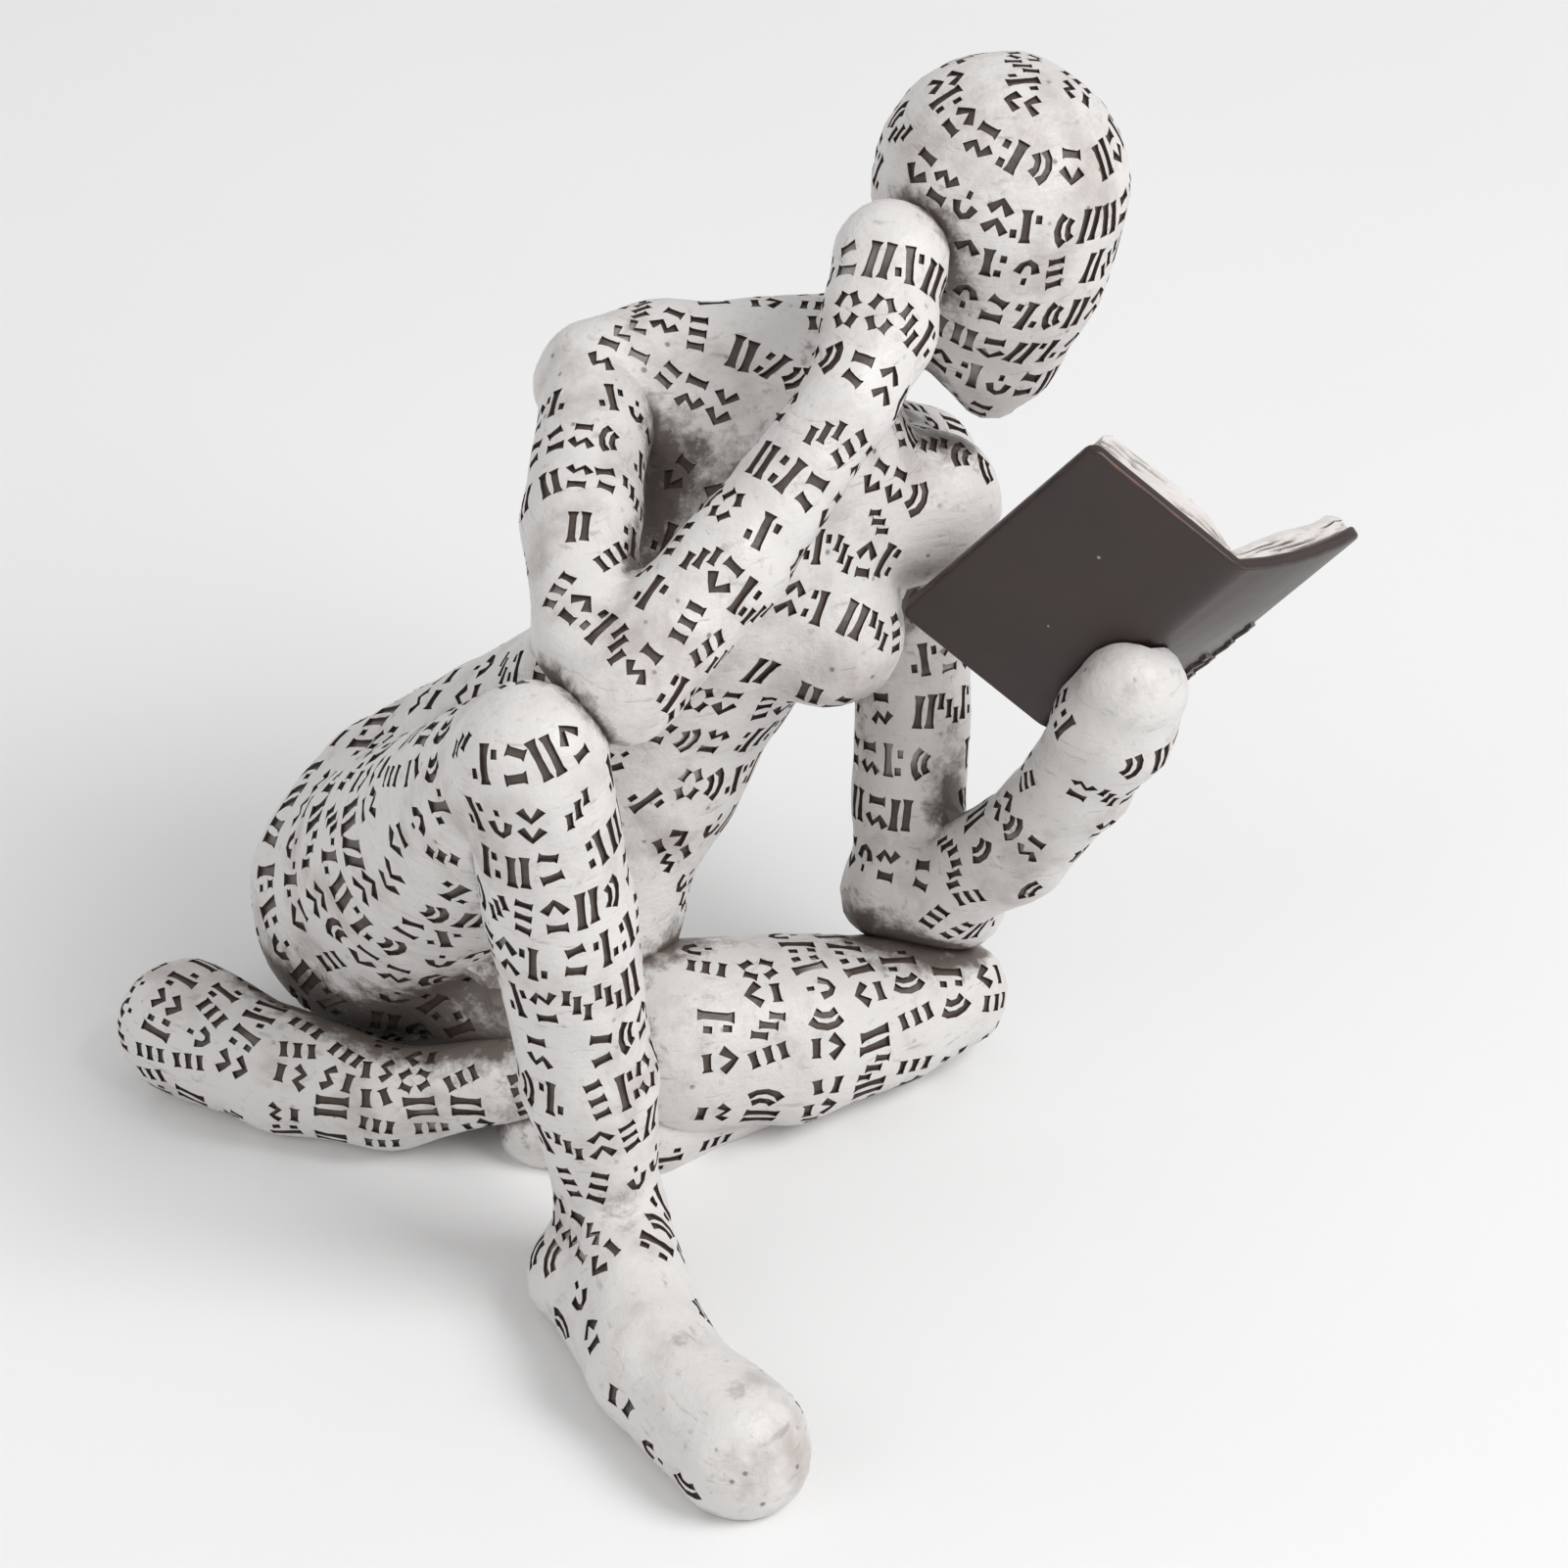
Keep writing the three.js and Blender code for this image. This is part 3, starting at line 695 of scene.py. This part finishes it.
figure = working_object("figure_whole", corner_points[kept_vertex][used], renumbered.reshape(-1, 3),
                        triangle_slots, slots=3)
bpy.data.objects.remove(old_figure)

# The casting is sealed with satin varnish over a thin umber wash that was wiped off again. It stays in
# the creases and, darkest, in the marks. The darkening in the hollows and under the arms and thighs is
# partly that wash and partly painted shade. Dust and handling left warm stains.
mesh = figure.data
points = np.array([v.co for v in mesh.vertices])
distances = form_distances(points)
ranked = np.sort(distances, 1)
outward = slope_of(figure_distance, points)
# A mask that is partly the wash in the hollows and partly painted shade: darker where the skin is shut in
openness = [(figure_distance(points + reach * outward) - ranked[:, 0]) / reach for reach in (3.0, 8.0, 20.0)]
# Painted shade under the limbs: darker where another form lies above, towards the sky
skyward = unit((0.1, -0.45, 0.9))
sky_shade = np.clip(-figure_distance(points + 16 * skyward) / 5, 0, 1) * np.clip(0.3 + outward @ skyward, 0, 1)
wash_and_shade = np.clip(1 - np.mean(openness, 0) + 0.3 * sky_shade, 0, 1)
# Darker patches of wash together with painted shade: under the raised thigh, in the armpit, at the waist
POOL_STRENGTH, POOL_EDGE = 0.36, 1.2
for pool, radius in (((-37, 14, 19), 17), ((-24, 12, 22), 13), ((-8, 27, 99), 9), ((0, 20, 99), 7),
                     ((-14, -4, 30), 10)):
    wash_and_shade += POOL_STRENGTH * np.exp(-(((points - pool) / radius) ** 2).sum(1) * POOL_EDGE)
wash_and_shade = np.clip(wash_and_shade, 0, 1)
order = np.argsort(distances, 1)[:, :2]
form_slopes = np.stack([slope_of(form_distance, points) for form_distance in figure_forms.values()], 1)
first_way = np.take_along_axis(form_slopes, order[:, :1, None], 1)[:, 0]
second_way = np.take_along_axis(form_slopes, order[:, 1:, None], 1)[:, 0]
turned = np.clip((0.85 - (first_way * second_way).sum(1)) / 0.4, 0, 1)
crease = np.clip(1 - (ranked[:, 1] - ranked[:, 0]) / 1.5, 0, 1) * turned
book_points = (points - BOOK_TAIL) @ BOOK_AXES.T
off_cover = np.abs(book_points[:, 0]) * math.sin(LEAN) - book_points[:, 1] * math.cos(LEAN)
glue = np.clip(1 - np.abs(off_cover) / 2.0, 0, 1) * (np.abs(book_points[:, 0]) < 22)
glue *= (book_points[:, 2] > -2) & (book_points[:, 2] < BOOK_HEIGHT) & (book_points[:, 1] < 16)


def mask(mesh, name, values):
    """Values at the vertices, for a material to read by name."""
    layer = mesh.attributes.new(name, "FLOAT", "POINT")
    layer.data.foreach_set("value", values.astype(np.float32))


mask(mesh, "wash_and_shade", wash_and_shade)
mask(mesh, "crease", crease)
mask(mesh, "glue", glue)

# Shading normals come from the clay's true skin, form by form, so the creases stay crisp
loop_vertex = np.empty(len(mesh.loops), np.int32)
mesh.loops.foreach_get("vertex_index", loop_vertex)
starts = np.array([p.loop_start for p in mesh.polygons])
totals = np.array([p.loop_total for p in mesh.polygons])
flat_normals = np.array([p.normal for p in mesh.polygons])
slots = np.array([p.material_index for p in mesh.polygons])
loop_face = np.repeat(np.arange(len(starts)), totals)
middles = np.array([p.center for p in mesh.polygons])
face_form = form_distances(middles).argmin(1)
loop_normals = flat_normals[loop_face].copy()
for column, form_distance in enumerate(figure_forms.values()):
    on_form = (face_form[loop_face] == column) & (slots[loop_face] != 1)
    true = slope_of(lambda p: form_distance(p) + swell(p), points[loop_vertex[on_form]])
    close = (true * loop_normals[on_form]).sum(1) > 0.72
    loop_normals[np.flatnonzero(on_form)[close]] = true[close]
mesh.polygons.foreach_set("use_smooth", np.ones(len(mesh.polygons), bool))
mesh.normals_split_custom_set(loop_normals.tolist())
mesh.vertices.foreach_set("co", (points / 1000).ravel())
mesh.update()


def hex_colour(code):
    """An sRGB hex colour as linear red, green, blue and alpha."""
    parts = [int(code[k:k + 2], 16) / 255 for k in (1, 3, 5)]
    return (*[p / 12.92 if p <= 0.04045 else ((p + 0.055) / 1.055) ** 2.4 for p in parts], 1.0)


def add_node(tree, kind, values=(), links=(), **settings):
    """A shader node with its settings, its inputs' values and the outputs linked to its inputs. A node
    stands for its first output."""
    made = tree.nodes.new("ShaderNode" + kind)
    for name, value in settings.items():
        setattr(made, name, value)
    for socket, value in dict(values).items():
        made.inputs[socket].default_value = value
    for socket, source in dict(links).items():
        tree.links.new(getattr(source, "outputs", [source])[0], made.inputs[socket])
    return made


def new_material(name):
    """A material with its node tree, its shader and the place on the object."""
    made = bpy.data.materials.new(name)
    made.use_nodes = True
    tree = made.node_tree
    return made, tree, tree.nodes["Principled BSDF"], add_node(tree, "TexCoord").outputs["Object"]


def paint(thing, material):
    thing.data.materials.clear()
    thing.data.materials.append(material)


# Cast resin, varnished: milky off-white with cloudy warm-grey stains 5 to 15 mm across, IOR 1.5, a satin
# gloss broken by small lumps and brush marks about 1 mm apart. The hollows darken with wash and painted
# shade.
cast_resin, tree, shader, place = new_material("varnished_cast_resin")
clouds, specks, grime, lumps = (
    add_node(tree, "TexNoise", {"Scale": scale, "Detail": detail, "Roughness": rough}, {"Vector": place})
    for scale, detail, rough in ((95, 5, 0.62), (420, 4, 0.7), (48, 8, 0.72), (230, 5, 0.6))
)
brushed = add_node(tree, "Mapping", {"Rotation": (0.5, 0.4, 0.9), "Scale": (1, 1, 7)}, {"Vector": place})
scratches = add_node(tree, "TexNoise", {"Scale": 170, "Detail": 6, "Roughness": 0.66},
                     {"Vector": brushed})
cells = add_node(tree, "TexVoronoi", {"Scale": 290}, {"Vector": place})
pit = add_node(tree, "MapRange", {"From Min": 0.13, "From Max": 0.06}, {"Value": cells.outputs["Distance"]})
patches = add_node(tree, "MapRange", {"From Min": 0.48, "From Max": 0.56, "To Max": 0.8}, {"Value": grime})
pits = add_node(tree, "Math", links={0: pit, 1: patches}, operation="MULTIPLY")
# Vertex masks: wash and painted shade in the hollows, wash in the creases, the glue line round the book
wash_and_shade_mask, joint, rim = (add_node(tree, "Attribute", attribute_name=name).outputs["Fac"]
                      for name in ("wash_and_shade", "crease", "glue"))
wavering = add_node(tree, "Math", {1: 0.5}, {0: specks}, operation="SUBTRACT")
ragged_wash_and_shade = add_node(tree, "Math", {1: 1.3}, {0: wavering, 2: wash_and_shade_mask}, operation="MULTIPLY_ADD")
# Stains, and the wash and painted shade of the hollows, from the lowest up: where each begins and is full,
# its strength there and its colour
below = {}
for source, begins, full, most, stain in (
    (clouds, 0.5, 0.72, 0.55, "#b1a8a3"),
    (specks, 0.6, 0.75, 0.5, "#968c87"),
    (grime, 0.53, 0.7, 0.6, "#a69b95"),
    (pits, 0, 1, 1, "#6e635c"),
    (scratches, 0.6, 0.68, 0.42, "#8a7e77"),
    # Wash and painted shade in the hollows, broken by specks
    (ragged_wash_and_shade, 0.42, 0.86, 0.92, "#5d524b"),
    (joint, 0.45, 1, 0.8, "#4b413b"),
    (rim, 0.72, 1, 0.85, "#3c322c"),
):
    share = add_node(tree, "MapRange", {"From Min": begins, "From Max": full, "To Max": most},
                     {"Value": source})
    coat = add_node(tree, "Mix", {6: hex_colour("#dcd9d7"), 7: hex_colour(stain)},
                    {0: share, **below}, data_type="RGBA")
    below = {6: coat.outputs[2]}
tree.links.new(coat.outputs[2], shader.inputs["Base Color"])
gloss = add_node(tree, "MapRange", {"To Min": 0.26, "To Max": 0.5}, {"Value": specks})
tree.links.new(gloss.outputs[0], shader.inputs["Roughness"])
below = {}
for height, strength, distance, sunk in (
    (lumps, 0.7, 0.0007, False), (scratches, 0.5, 0.0003, True), (pits, 0.6, 0.0003, True)
):
    relief = add_node(tree, "Bump", {"Strength": strength, "Distance": distance},
                      {"Height": height, **below}, invert=sunk)
    below = {"Normal": relief}
tree.links.new(relief.outputs[0], shader.inputs["Normal"])
shader.inputs["IOR"].default_value = 1.5

# Umber wash, thick against the walls of the marks: nearly black brown, dull, it gives each its outline.
wash_outline, tree, shader, place = new_material("umber_wash_thick")
blots = add_node(tree, "TexNoise", {"Scale": 500, "Detail": 3}, {"Vector": place})
brown = add_node(tree, "Mix", {6: hex_colour("#2f2622"), 7: hex_colour("#544741")}, {0: blots},
                 data_type="RGBA")
tree.links.new(brown.outputs[2], shader.inputs["Base Color"])
shader.inputs["Roughness"].default_value = 0.5

# Umber wash, thin on the floors: wiped to greyer brown, and in places back to the white resin.
wash_floor, tree, shader, place = new_material("umber_wash_thin")
wiped = add_node(tree, "TexNoise", {"Scale": 60, "Detail": 2}, {"Vector": place})
bare = add_node(tree, "MapRange", {"From Min": 0.62, "From Max": 0.7, "To Max": 0.75}, {"Value": wiped})
streaks = add_node(tree, "TexNoise", {"Scale": 700, "Detail": 3}, {"Vector": place})
brown = add_node(tree, "Mix", {6: hex_colour("#352b27"), 7: hex_colour("#665950")}, {0: streaks},
                 data_type="RGBA")
worn = add_node(tree, "Mix", {7: hex_colour("#c3bab2")}, {0: bare, 6: brown.outputs[2]},
                data_type="RGBA")
tree.links.new(worn.outputs[2], shader.inputs["Base Color"])
shader.inputs["Roughness"].default_value = 0.42
grain = add_node(tree, "Bump", {"Strength": 0.5, "Distance": 0.0003}, {"Height": streaks})
tree.links.new(grain.outputs[0], shader.inputs["Normal"])

for slot, material in enumerate((cast_resin, wash_outline, wash_floor)):
    mesh.materials[slot] = material
figure.name = mesh.name = "figure_cast"
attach(figure, "root")
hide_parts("figure")

# The book's cover: two boards and a spine in one bent band, cast with the book, its edges rounded by
# hand, painted dark brown with a satin lacquer that is worn to copper red along the edges.
cover_profile = open_profile(lambda leaf: band(leaf, 0, leaf["width"]),
                             lambda leaf: band(leaf, COVER_BOARD, leaf["width"]))
cover_points, cover_faces = prism(cover_profile, 0, BOOK_HEIGHT)
cover = working_object("book_cover", cover_points / 1000, cover_faces)
BEVEL = 0.55
CORNER_ROUND = 1.7


def rounded(thing, width, segments, **limits):
    """The object's edges rounded in place, either the weighted ones or the sharp ones."""
    rounding = thing.modifiers.new("rounding", "BEVEL")
    rounding.width, rounding.segments, rounding.harden_normals = width / 1000, segments, True
    for name, value in limits.items():
        setattr(rounding, name, value)
    thing.data.polygons.foreach_set("use_smooth", np.ones(len(thing.data.polygons), bool))
    result = bpy.data.meshes.new_from_object(thing.evaluated_get(bpy.context.evaluated_depsgraph_get()))
    thing.modifiers.clear()
    thing.data = result
    return result


# The boards' free corners and the spine are rounder than the other edges
weights = cover.data.attributes.new("bevel_weight_edge", "FLOAT", "EDGE")
in_place = (cover_points - BOOK_TAIL) @ BOOK_AXES.T
for edge in cover.data.edges:
    one, other = (in_place[v] for v in edge.vertices)
    through_board = abs(one[2] - other[2]) < 0.01 and min(abs(one[0]), abs(other[0])) > 18 \
        and np.linalg.norm(one - other) < 1.2 * COVER_BOARD
    along_spine = max(abs(one[0]), abs(other[0])) < 0.01 and max(abs(one[1]), abs(other[1])) < 0.01
    weights.data[edge.index].value = float(through_board or along_spine)
rounded(cover, CORNER_ROUND, 4, limit_method="WEIGHT")
corners_of = [np.array(v.co) * 1000 for v in cover.data.vertices]
face_normals = {tuple(sorted(key)): [] for key in cover.data.edge_keys}
for polygon in cover.data.polygons:
    for key in polygon.edge_keys:
        face_normals[tuple(sorted(key))].append(np.array(polygon.normal))
sharp = [key for key, both in face_normals.items() if both[0] @ both[1] < math.cos(math.radians(32))]
smooth = rounded(cover, BEVEL, 4, limit_method="ANGLE", angle_limit=math.radians(32))
places = np.array([v.co for v in smooth.vertices]) * 1000
nearest = np.full(len(places), 9.0)
for a, b in sharp:
    start, run = corners_of[a], corners_of[b] - corners_of[a]
    share = np.clip((places - start) @ run / (run @ run), 0, 1)
    nearest = np.minimum(nearest, np.linalg.norm(places - start - np.outer(share, run), axis=1))
mask(smooth, "rubbed", np.clip((BEVEL - nearest) / (0.59 * BEVEL), 0, 1))

# Brown lacquer over copper-red primer: satin, IOR 1.5, flat colour with faint clouds, small light specks
# of dust caught in the paint, and the primer showing where hands rubbed the edges.
brown_lacquer, tree, shader, place = new_material("satin_brown_lacquer")
clouds = add_node(tree, "TexNoise", {"Scale": 90, "Detail": 5}, {"Vector": place})
brown = add_node(tree, "Mix", {6: hex_colour("#281d1a"), 7: hex_colour("#382b27")}, {0: clouds},
                 data_type="RGBA")
patches = add_node(tree, "TexNoise", {"Scale": 260, "Detail": 4}, {"Vector": place})
rub = add_node(tree, "Attribute", attribute_name="rubbed")
rub_here = add_node(tree, "Math", links={0: rub.outputs["Fac"], 1: patches}, operation="MULTIPLY")
rub_share = add_node(tree, "MapRange", {"From Min": 0.42, "From Max": 0.62, "To Max": 0.8},
                     {"Value": rub_here})
primed = add_node(tree, "Mix", {7: hex_colour("#6b4233")}, {0: rub_share, 6: brown.outputs[2]},
                  data_type="RGBA")
dust = add_node(tree, "TexVoronoi", {"Scale": 160}, {"Vector": place})
speck = add_node(tree, "Math", {1: 0.035}, {0: dust.outputs["Distance"]}, operation="LESS_THAN")
dusted = add_node(tree, "Mix", {7: hex_colour("#9a928c")}, {0: speck, 6: primed.outputs[2]},
                  data_type="RGBA")
tree.links.new(dusted.outputs[2], shader.inputs["Base Color"])
gloss = add_node(tree, "MapRange", {"To Min": 0.3, "To Max": 0.46}, {"Value": clouds})
tree.links.new(gloss.outputs[0], shader.inputs["Roughness"])
brushed = add_node(tree, "Bump", {"Strength": 0.3, "Distance": 0.0003}, {"Height": patches})
tree.links.new(brushed.outputs[0], shader.inputs["Normal"])
paint(cover, brown_lacquer)
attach(cover, "root")
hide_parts("book")

# Raised strokes on the outside of the right cover, low down by its fore edge: short worn bars under the
# same paint, left from the mould. Each is a low bar with sloping sides.
bar_points, bar_faces = [], []
right_leaf = LEAVES[1]
for column_share, heights in ((0.9, (5.5, 9.5, 13.5, 17.5)), (0.74, (4.5, 8.5, 12.0)), (0.58, (3.5,))):
    for at_height in heights:
        for offset, turn, length in ((-0.9, 0.25, 3.0), (0.9, -0.35, 2.4)):
            way = np.array([math.cos(turn), math.sin(turn)])
            side = np.array([-way[1], way[0]])
            for lift, shrink in ((0.2, 1.0), (-0.45, 0.62)):
                for u, v in ((-1, -1), (1, -1), (1, 1), (-1, 1)):
                    spot = way * u * (length / 2) * (1 if shrink == 1 else 0.85) + side * v * 0.62 * shrink
                    share = column_share + spot[0] / right_leaf["width"]
                    profile = leaf_point(right_leaf, share, lift)
                    bar_points.append(book_place(profile, at_height + offset + spot[1]))
            base = len(bar_points) - 8
            ring = [(k, (k + 1) % 4) for k in range(4)]
            bar_faces += [tuple(base + k for k in (3, 2, 1, 0)), tuple(base + 4 + k for k in range(4))]
            bar_faces += [(base + a, base + b, base + 4 + b, base + 4 + a) for a, b in ring]
bars = working_object("cover_bars", np.array(bar_points) / 1000, bar_faces)
paint(bars, brown_lacquer)
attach(bars, "root")
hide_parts("book")

# The pages: a block on each leaf, part of the same casting, left white. Its sheets were scratched in by
# hand as uneven grooves around the three open edges, with wash in them; the open pages are smooth.
PAGE_MARGIN = 1.4
PAGE_GRID = (44, 24, 60)
GROOVES = 4
PAGE_ROUND = 0.9
PAGE_FOLD = 1.92


def page_lift(leaf, share):
    """Lift of the open page's face over the cover's outer face, from the fold to the fore edge."""
    top = COVER_BOARD + leaf["pages"]
    edge = 1 - PAGE_MARGIN / leaf["width"]
    fold = COVER_BOARD + PAGE_FOLD
    stations = [fold * math.tan(LEAN) / leaf["width"], 0.25, 0.45, edge - 0.06, edge]
    lifts = [fold, top - 0.1 * leaf["pages"], top, top, top - 0.3 * leaf["pages"]]
    return np.interp(share, stations, lifts)


def groove(along, across, leaf):
    """Depth of the scratched sheets at a place of an open edge, both from 0 to 1."""
    wander = 0.6 * np.sin(5 * along + 2 * leaf["side"]) + 0.35 * np.sin(13 * along + 4 * across)
    wave = np.sin(2 * math.pi * GROOVES * across + 2.2 * wander)
    strength = np.clip(0.35 + 0.9 * np.sin(8 * along + 5 * across + 2 * leaf["side"]), 0, 1)
    nicks = np.clip(np.sin(29 * along + 11 * across) * np.sin(19 * across + 7 * along), 0, 1)
    return 0.95 * np.clip(wave, 0, 1) ** 1.5 * strength + 0.35 * nicks**2


block_points, block_faces, block_grooves = [], [], []
for leaf in LEAVES:
    n = np.array(PAGE_GRID)
    grid = np.stack(np.meshgrid(*[np.arange(k + 1) for k in n], indexing="ij"), -1).reshape(-1, 3)
    grid = grid[((grid == 0) | (grid == n)).any(1)]
    number = {tuple(g): k + sum(len(p) for p in block_points) for k, g in enumerate(grid)}
    s, t, h = (grid / n).T
    edge = 1 - PAGE_MARGIN / leaf["width"]
    bottom = COVER_BOARD * 0.98
    first = (bottom + (page_lift(leaf, 0.0) - bottom) * t) * math.tan(LEAN) / leaf["width"]
    cut = np.where((h == 0) | (h == 1), groove(s, t, leaf), 0) * (t < 0.97)
    fore = np.where(s == 1, groove(h, t, leaf), 0) * (t < 0.97)
    share = first + (edge - first) * s - fore / leaf["width"]
    edge_gap = np.minimum(np.minimum(h, 1 - h) * (BOOK_HEIGHT - 1.4), (1 - s) * leaf["width"])
    drop = PAGE_ROUND * np.clip(1 - edge_gap / PAGE_ROUND, 0, 1) ** 2
    drop = drop + 0.25 * np.sin(9 * s + 7 * h) * (0.3 + s)
    lift = bottom + (page_lift(leaf, share) - bottom - drop) * t
    height = 0.7 + (BOOK_HEIGHT - 1.4) * h + np.where(h == 0, cut, -cut)
    profile = leaf_point(leaf, share, lift)
    block_points.append(book_place(profile, height))
    block_grooves.append(cut + fore)
    for axis in range(3):
        right, up = (axis + 1) % 3, (axis + 2) % 3
        for end in (0, n[axis]):
            for i in range(n[right]):
                for j in range(n[up]):
                    ring = []
                    for di, dj in ((0, 0), (1, 0), (1, 1), (0, 1)):
                        key = [0, 0, 0]
                        key[axis], key[right], key[up] = end, i + di, j + dj
                        ring.append(number[tuple(key)])
                    forward = (end > 0) == (leaf["side"] < 0)
                    block_faces.append(ring[::-1] if forward else ring)
pages = working_object("book_pages", np.concatenate(block_points) / 1000, block_faces)
mask(pages.data, "groove", np.concatenate(block_grooves))
pages.data.polygons.foreach_set("use_smooth", np.ones(len(pages.data.polygons), bool))
pages.data.set_sharp_from_angle(angle=math.radians(40))

# White resin, not varnished on the pages: chalkier than the figure, grey in the scratched grooves.
chalky_resin, tree, shader, place = new_material("chalky_white_resin")
clouds = add_node(tree, "TexNoise", {"Scale": 180, "Detail": 5}, {"Vector": place})
white = add_node(tree, "Mix", {6: hex_colour("#ece9e7"), 7: hex_colour("#bdb6b1")}, {0: clouds},
                 data_type="RGBA")
scratch = add_node(tree, "Attribute", attribute_name="groove")
scratched = add_node(tree, "MapRange", {"From Min": 0.2, "From Max": 0.75, "To Max": 0.92},
                     {"Value": scratch.outputs["Fac"]})
pages_colour = add_node(tree, "Mix", {7: hex_colour("#5f554e")}, {0: scratched, 6: white.outputs[2]},
                        data_type="RGBA")
tree.links.new(pages_colour.outputs[2], shader.inputs["Base Color"])
shader.inputs["Roughness"].default_value = 0.6
chalk = add_node(tree, "Bump", {"Strength": 0.6, "Distance": 0.0004}, {"Height": clouds})
tree.links.new(chalk.outputs[0], shader.inputs["Normal"])
paint(pages, chalky_resin)
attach(pages, "root")
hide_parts("book")

# A plain white studio table and soft daylight: one broad lamp up to the camera's right, one weaker on
# the left, and a bright even room.
floor = working_object("floor", [(-3, -3, 0), (3, -3, 0), (3, 3, 0), (-3, 3, 0)], [(0, 1, 2, 3)])
table_paint, tree, shader, place = new_material("matt_white_table")
faint = add_node(tree, "TexNoise", {"Scale": 12, "Detail": 2}, {"Vector": place})
pale = add_node(tree, "Mix", {6: hex_colour("#f4f4f4"), 7: hex_colour("#efefef")}, {0: faint},
                data_type="RGBA")
tree.links.new(pale.outputs[2], shader.inputs["Base Color"])
shader.inputs["Roughness"].default_value = 0.7
paint(floor, table_paint)

world = bpy.data.worlds.new("room")
bpy.context.scene.world = world
world.use_nodes = True
world.node_tree.nodes["Background"].inputs["Color"].default_value = hex_colour("#ffffff")
world.node_tree.nodes["Background"].inputs["Strength"].default_value = 0.6
for name, spot, size, power in (("lamp_right", (0.75, -0.35, 0.95), 0.6, 9),
                                ("lamp_left", (-0.9, -0.6, 0.7), 0.8, 1.5)):
    lamp_data = bpy.data.lights.new(name, "AREA")
    lamp_data.size, lamp_data.energy = size, power
    lamp = bpy.data.objects.new(name, lamp_data)
    bpy.context.scene.collection.objects.link(lamp)
    lamp.location = spot
    lamp.rotation_euler = (Vector((0, 0, 0.07)) - Vector(spot)).to_track_quat("-Z", "Y").to_euler()
bpy.context.scene.view_settings.view_transform = "Standard"

camera_data = bpy.data.cameras.new("camera")
camera_data.lens, camera_data.sensor_width = 146.16, 36
camera = bpy.data.objects.new("camera", camera_data)
bpy.context.scene.collection.objects.link(camera)
camera.location = Vector((6.6, -630.3, 550.25)) / 1000
aim = Vector((6.6, 15.2, 56.75)) / 1000 - camera.location
camera.rotation_euler = aim.to_track_quat("-Z", "Y").to_euler()
bpy.context.scene.camera = camera
